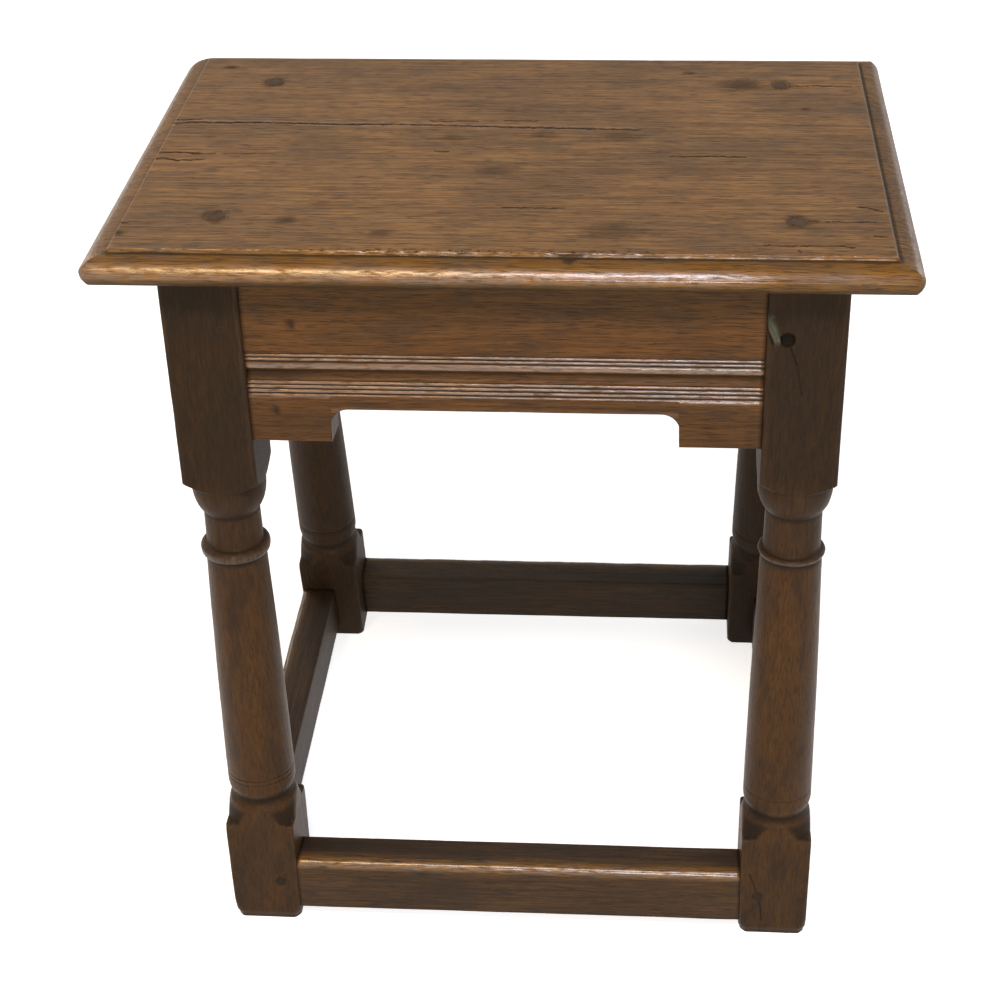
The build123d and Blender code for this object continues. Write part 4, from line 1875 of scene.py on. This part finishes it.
def peg_sets() -> list[Pegs]:
    """Lists every set of pegs in the stool.

    Returns:
        The sets, by the member that they fasten.
    """
    sets = []
    into = Matrix.Rotation(math.pi / 2, 4, "X")
    for face in Face:
        side = Side(face)
        for kind, heights in (("rail", RAIL_PEG_HEIGHTS), ("stretcher", (STRETCHER_PEG_HEIGHT,))):
            places, lost = [], -1
            for end in (-1, 1):
                for height in heights:
                    z = side.z(height)
                    x = end * (side.shoulder(z) + PEG_FROM_SHOULDER)
                    sunk = face is Face.FRONT and end == 1 and height == RAIL_PEG_HEIGHTS[-1]
                    lost = len(places) if sunk else lost
                    y = SUNK_PEG_DEPTH if sunk else -PEG_PROUD
                    places.append(side.place @ Matrix.Translation((x, y, z)) @ into)
            name = f"pegs_{kind}_{face.word}"
            sets.append(Pegs(name, PEG_RADIUS, PEG_LENGTH, places, sunk=lost))
    tops = [Matrix.Translation((x, y, STOOL_HEIGHT)) for x, y in SEAT_PEG_SPOTS]
    sets.append(Pegs("pegs_seat", SEAT_PEG_RADIUS, SEAT_PEG_LENGTH, tops, SEAT_PEG_OAK))
    return sets


# ------------------------------------------------------------------ studio
@dataclass(frozen=True)
class Viewpoint:
    """Where the camera stands: above the seat and a little to the right of the middle."""

    eye: tuple[float, float, float] = (88.763, -1033.124, 1007.639)
    yaw: float = -3.887         # degrees to the right
    pitch: float = -36.256      # degrees up
    roll: float = -1.218
    lens: float = 63.898
    sensor: float = 36.0
    shift: Point2 = (-0.05217, 0.00904)

    def build(self) -> bpy.types.Object:
        """Makes the camera.

        Returns:
            The camera, set as the scene's.
        """
        yaw, pitch, roll = (math.radians(a) for a in (self.yaw, self.pitch, self.roll))
        ahead = Vector((
            math.sin(yaw) * math.cos(pitch), math.cos(yaw) * math.cos(pitch), math.sin(pitch)
        ))
        level = Vector((math.cos(yaw), -math.sin(yaw), 0))
        up = level.cross(ahead)
        right = level * math.cos(roll) + up * math.sin(roll)
        above = up * math.cos(roll) - level * math.sin(roll)
        turn = Matrix((right, above, -ahead)).transposed().to_4x4()
        lens = bpy.data.cameras.new("camera")
        lens.sensor_width = self.sensor
        lens.lens = self.lens
        lens.shift_x, lens.shift_y = self.shift
        camera = bpy.data.objects.new("camera", lens)
        camera.matrix_world = Matrix.Translation(Vector(self.eye) / METRE) @ turn
        bpy.context.scene.collection.objects.link(camera)
        bpy.context.scene.camera = camera
        return camera


@dataclass(frozen=True)
class Lamp:
    """A soft box: where it hangs, what it points at, its size in metres, power and colour."""

    name: str
    place: tuple[float, float, float]
    size: Point2
    watts: float
    colour: str = "FFFFFF"
    aim: tuple[float, float, float] = (0.0, 0.0, 0.35)

    def build(self) -> bpy.types.Object:
        """Makes the lamp.

        Returns:
            The lamp.
        """
        light = bpy.data.lights.new(self.name, "AREA")
        light.shape = "RECTANGLE"
        light.size, light.size_y = self.size
        light.energy = self.watts
        light.color = linear(self.colour)[:3]
        lamp = bpy.data.objects.new(self.name, light)
        lamp.location = self.place
        lamp.rotation_euler = (Vector(self.place) - Vector(self.aim)).to_track_quat("Z", "Y").to_euler()
        bpy.context.scene.collection.objects.link(lamp)
        return lamp


@dataclass
class Studio:
    """A plain white floor and backdrop, soft boxes in front and behind, and a low general light."""

    lamps: tuple[Lamp, ...] = (
        Lamp("lamp_over_left", (-0.42, -1.05, 1.95), (0.46, 0.28), 15.0, "FFD392"),
        Lamp("lamp_over_right", (0.14, -1.08, 1.95), (0.46, 0.28), 13.5, "ECEBFF"),
        Lamp("lamp_by_camera", (0.25, -2.00, 1.00), (0.60, 0.30), 16.5, "FFFAF4"),
        Lamp("lamp_behind_left", (-1.60, 1.50, 0.95), (0.80, 0.60), 11.0, "FFF4E6"),
        Lamp("lamp_behind_right", (1.60, 1.50, 0.95), (0.80, 0.60), 11.0, "F2F4FF"),
    )
    general: float = 0.25
    floor_span: float = 30.0
    floor_white: tuple[float, float, float] = (0.9, 0.9, 0.9)   # to the eye
    floor_bounce: str = "8C8A86"    # to the light, so that little is thrown back up
    floor_glow: float = 0.72

    def build(self) -> None:
        """Makes the floor, the world and the lamps."""
        scene = bpy.context.scene
        scene.view_settings.view_transform = "Standard"
        for lamp in self.lamps:
            lamp.build()
        self._world(scene)
        bm = bmesh.new()
        bmesh.ops.create_grid(bm, x_segments=1, y_segments=1, size=self.floor_span / 2)
        mesh = bpy.data.meshes.new("studio_floor")
        bm.to_mesh(mesh)
        bm.free()
        floor = bpy.data.objects.new("studio_floor", mesh)
        scene.collection.objects.link(floor)
        mesh.materials.append(self._floor_paint())

    @staticmethod
    def _seen(tree: bpy.types.NodeTree) -> bpy.types.NodeSocket:
        """Tells the rays that only look from those that light the stool.

        Args:
            tree: the node tree of a material or the world.

        Returns:
            1 for rays that the camera, a gloss or a glass sends, else 0.
        """
        path = add_node(tree, "ShaderNodeLightPath")
        both = add_node(
            tree, "ShaderNodeMath",
            {0: path.outputs["Is Camera Ray"], 1: path.outputs["Is Glossy Ray"]}, operation="MAXIMUM",
        )
        return add_node(
            tree, "ShaderNodeMath",
            {0: both.outputs[0], 1: path.outputs["Is Transmission Ray"]}, operation="MAXIMUM",
        ).outputs[0]

    def _world(self, scene: bpy.types.Scene) -> None:
        """Makes a world that looks white and lights the stool softly.

        Args:
            scene: the scene that it is for.
        """
        world = bpy.data.worlds.new("studio_world")
        scene.world = world
        world.use_nodes = True
        tree = world.node_tree
        tree.nodes.clear()
        strength = add_node(
            tree, "ShaderNodeMapRange",
            {"Value": self._seen(tree), "To Min": self.general, "To Max": 1.0},
        )
        sky = add_node(
            tree, "ShaderNodeBackground", {"Color": (1, 1, 1, 1), "Strength": strength.outputs[0]}
        )
        add_node(tree, "ShaderNodeOutputWorld", {"Surface": sky.outputs[0]})

    def _floor_paint(self) -> bpy.types.Material:
        """White paper to the eye, which keeps the stool's shadow and throws back little light.

        Returns:
            The floor's material.
        """
        paint = bpy.data.materials.new("white_studio_paper")
        paint.use_nodes = True
        tree = paint.node_tree
        tree.nodes.clear()
        seen = self._seen(tree)
        colour = add_node(
            tree, "ShaderNodeMix", {0: seen, 6: linear(self.floor_bounce), 7: (*self.floor_white, 1.0)},
            data_type="RGBA",
        ).outputs[2]
        paper = add_node(tree, "ShaderNodeBsdfDiffuse", {"Color": colour}).outputs[0]
        glow = add_node(tree, "ShaderNodeMath", {0: seen, 1: self.floor_glow}, operation="MULTIPLY")
        light = add_node(tree, "ShaderNodeEmission", {"Strength": glow.outputs[0]}).outputs[0]
        both = add_node(tree, "ShaderNodeAddShader", {0: paper, 1: light}).outputs[0]
        add_node(tree, "ShaderNodeOutputMaterial", {"Surface": both})
        return paint


# ------------------------------------------------------------------ assembly
# Each leg was turned by eye, so the heights of its turnings are its own: shoulder, ring's top and
# foot, ring's radius and column's foot.
LEGS = (
    TurnedLeg(Face.FRONT, Face.LEFT, 360.5, 307.5, 299.5, 22.1, 114.0, 1.3, (8.9, 5.1), 0.42),
    TurnedLeg(Face.FRONT, Face.RIGHT, 367.5, 310.5, 306.0, 20.9, 111.0, 5.9, (6.8,), 0.2),
    TurnedLeg(Face.BACK, Face.LEFT, 363.0, 309.5, 302.5, 21.6, 112.5, 9.2, (7.6, 5.4)),
    TurnedLeg(Face.BACK, Face.RIGHT, 362.0, 308.5, 302.0, 21.4, 113.0, 14.6),
)


def main() -> None:
    """Builds the studio and every piece in order."""
    logging.basicConfig(level=logging.INFO, format="%(message)s")
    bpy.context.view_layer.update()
    Viewpoint().build()
    Studio().build()
    makers = [
        SeatBoard(),
        *LEGS,
        *(FriezeRail(face) for face in Face),
        *(Stretcher(face) for face in Face),
        *peg_sets(),
    ]
    for maker in makers:
        piece = maker.build()
        LOG.info("%s: %d faces", piece.name, len(piece.data.polygons))


if __name__ == "__main__":
    main()
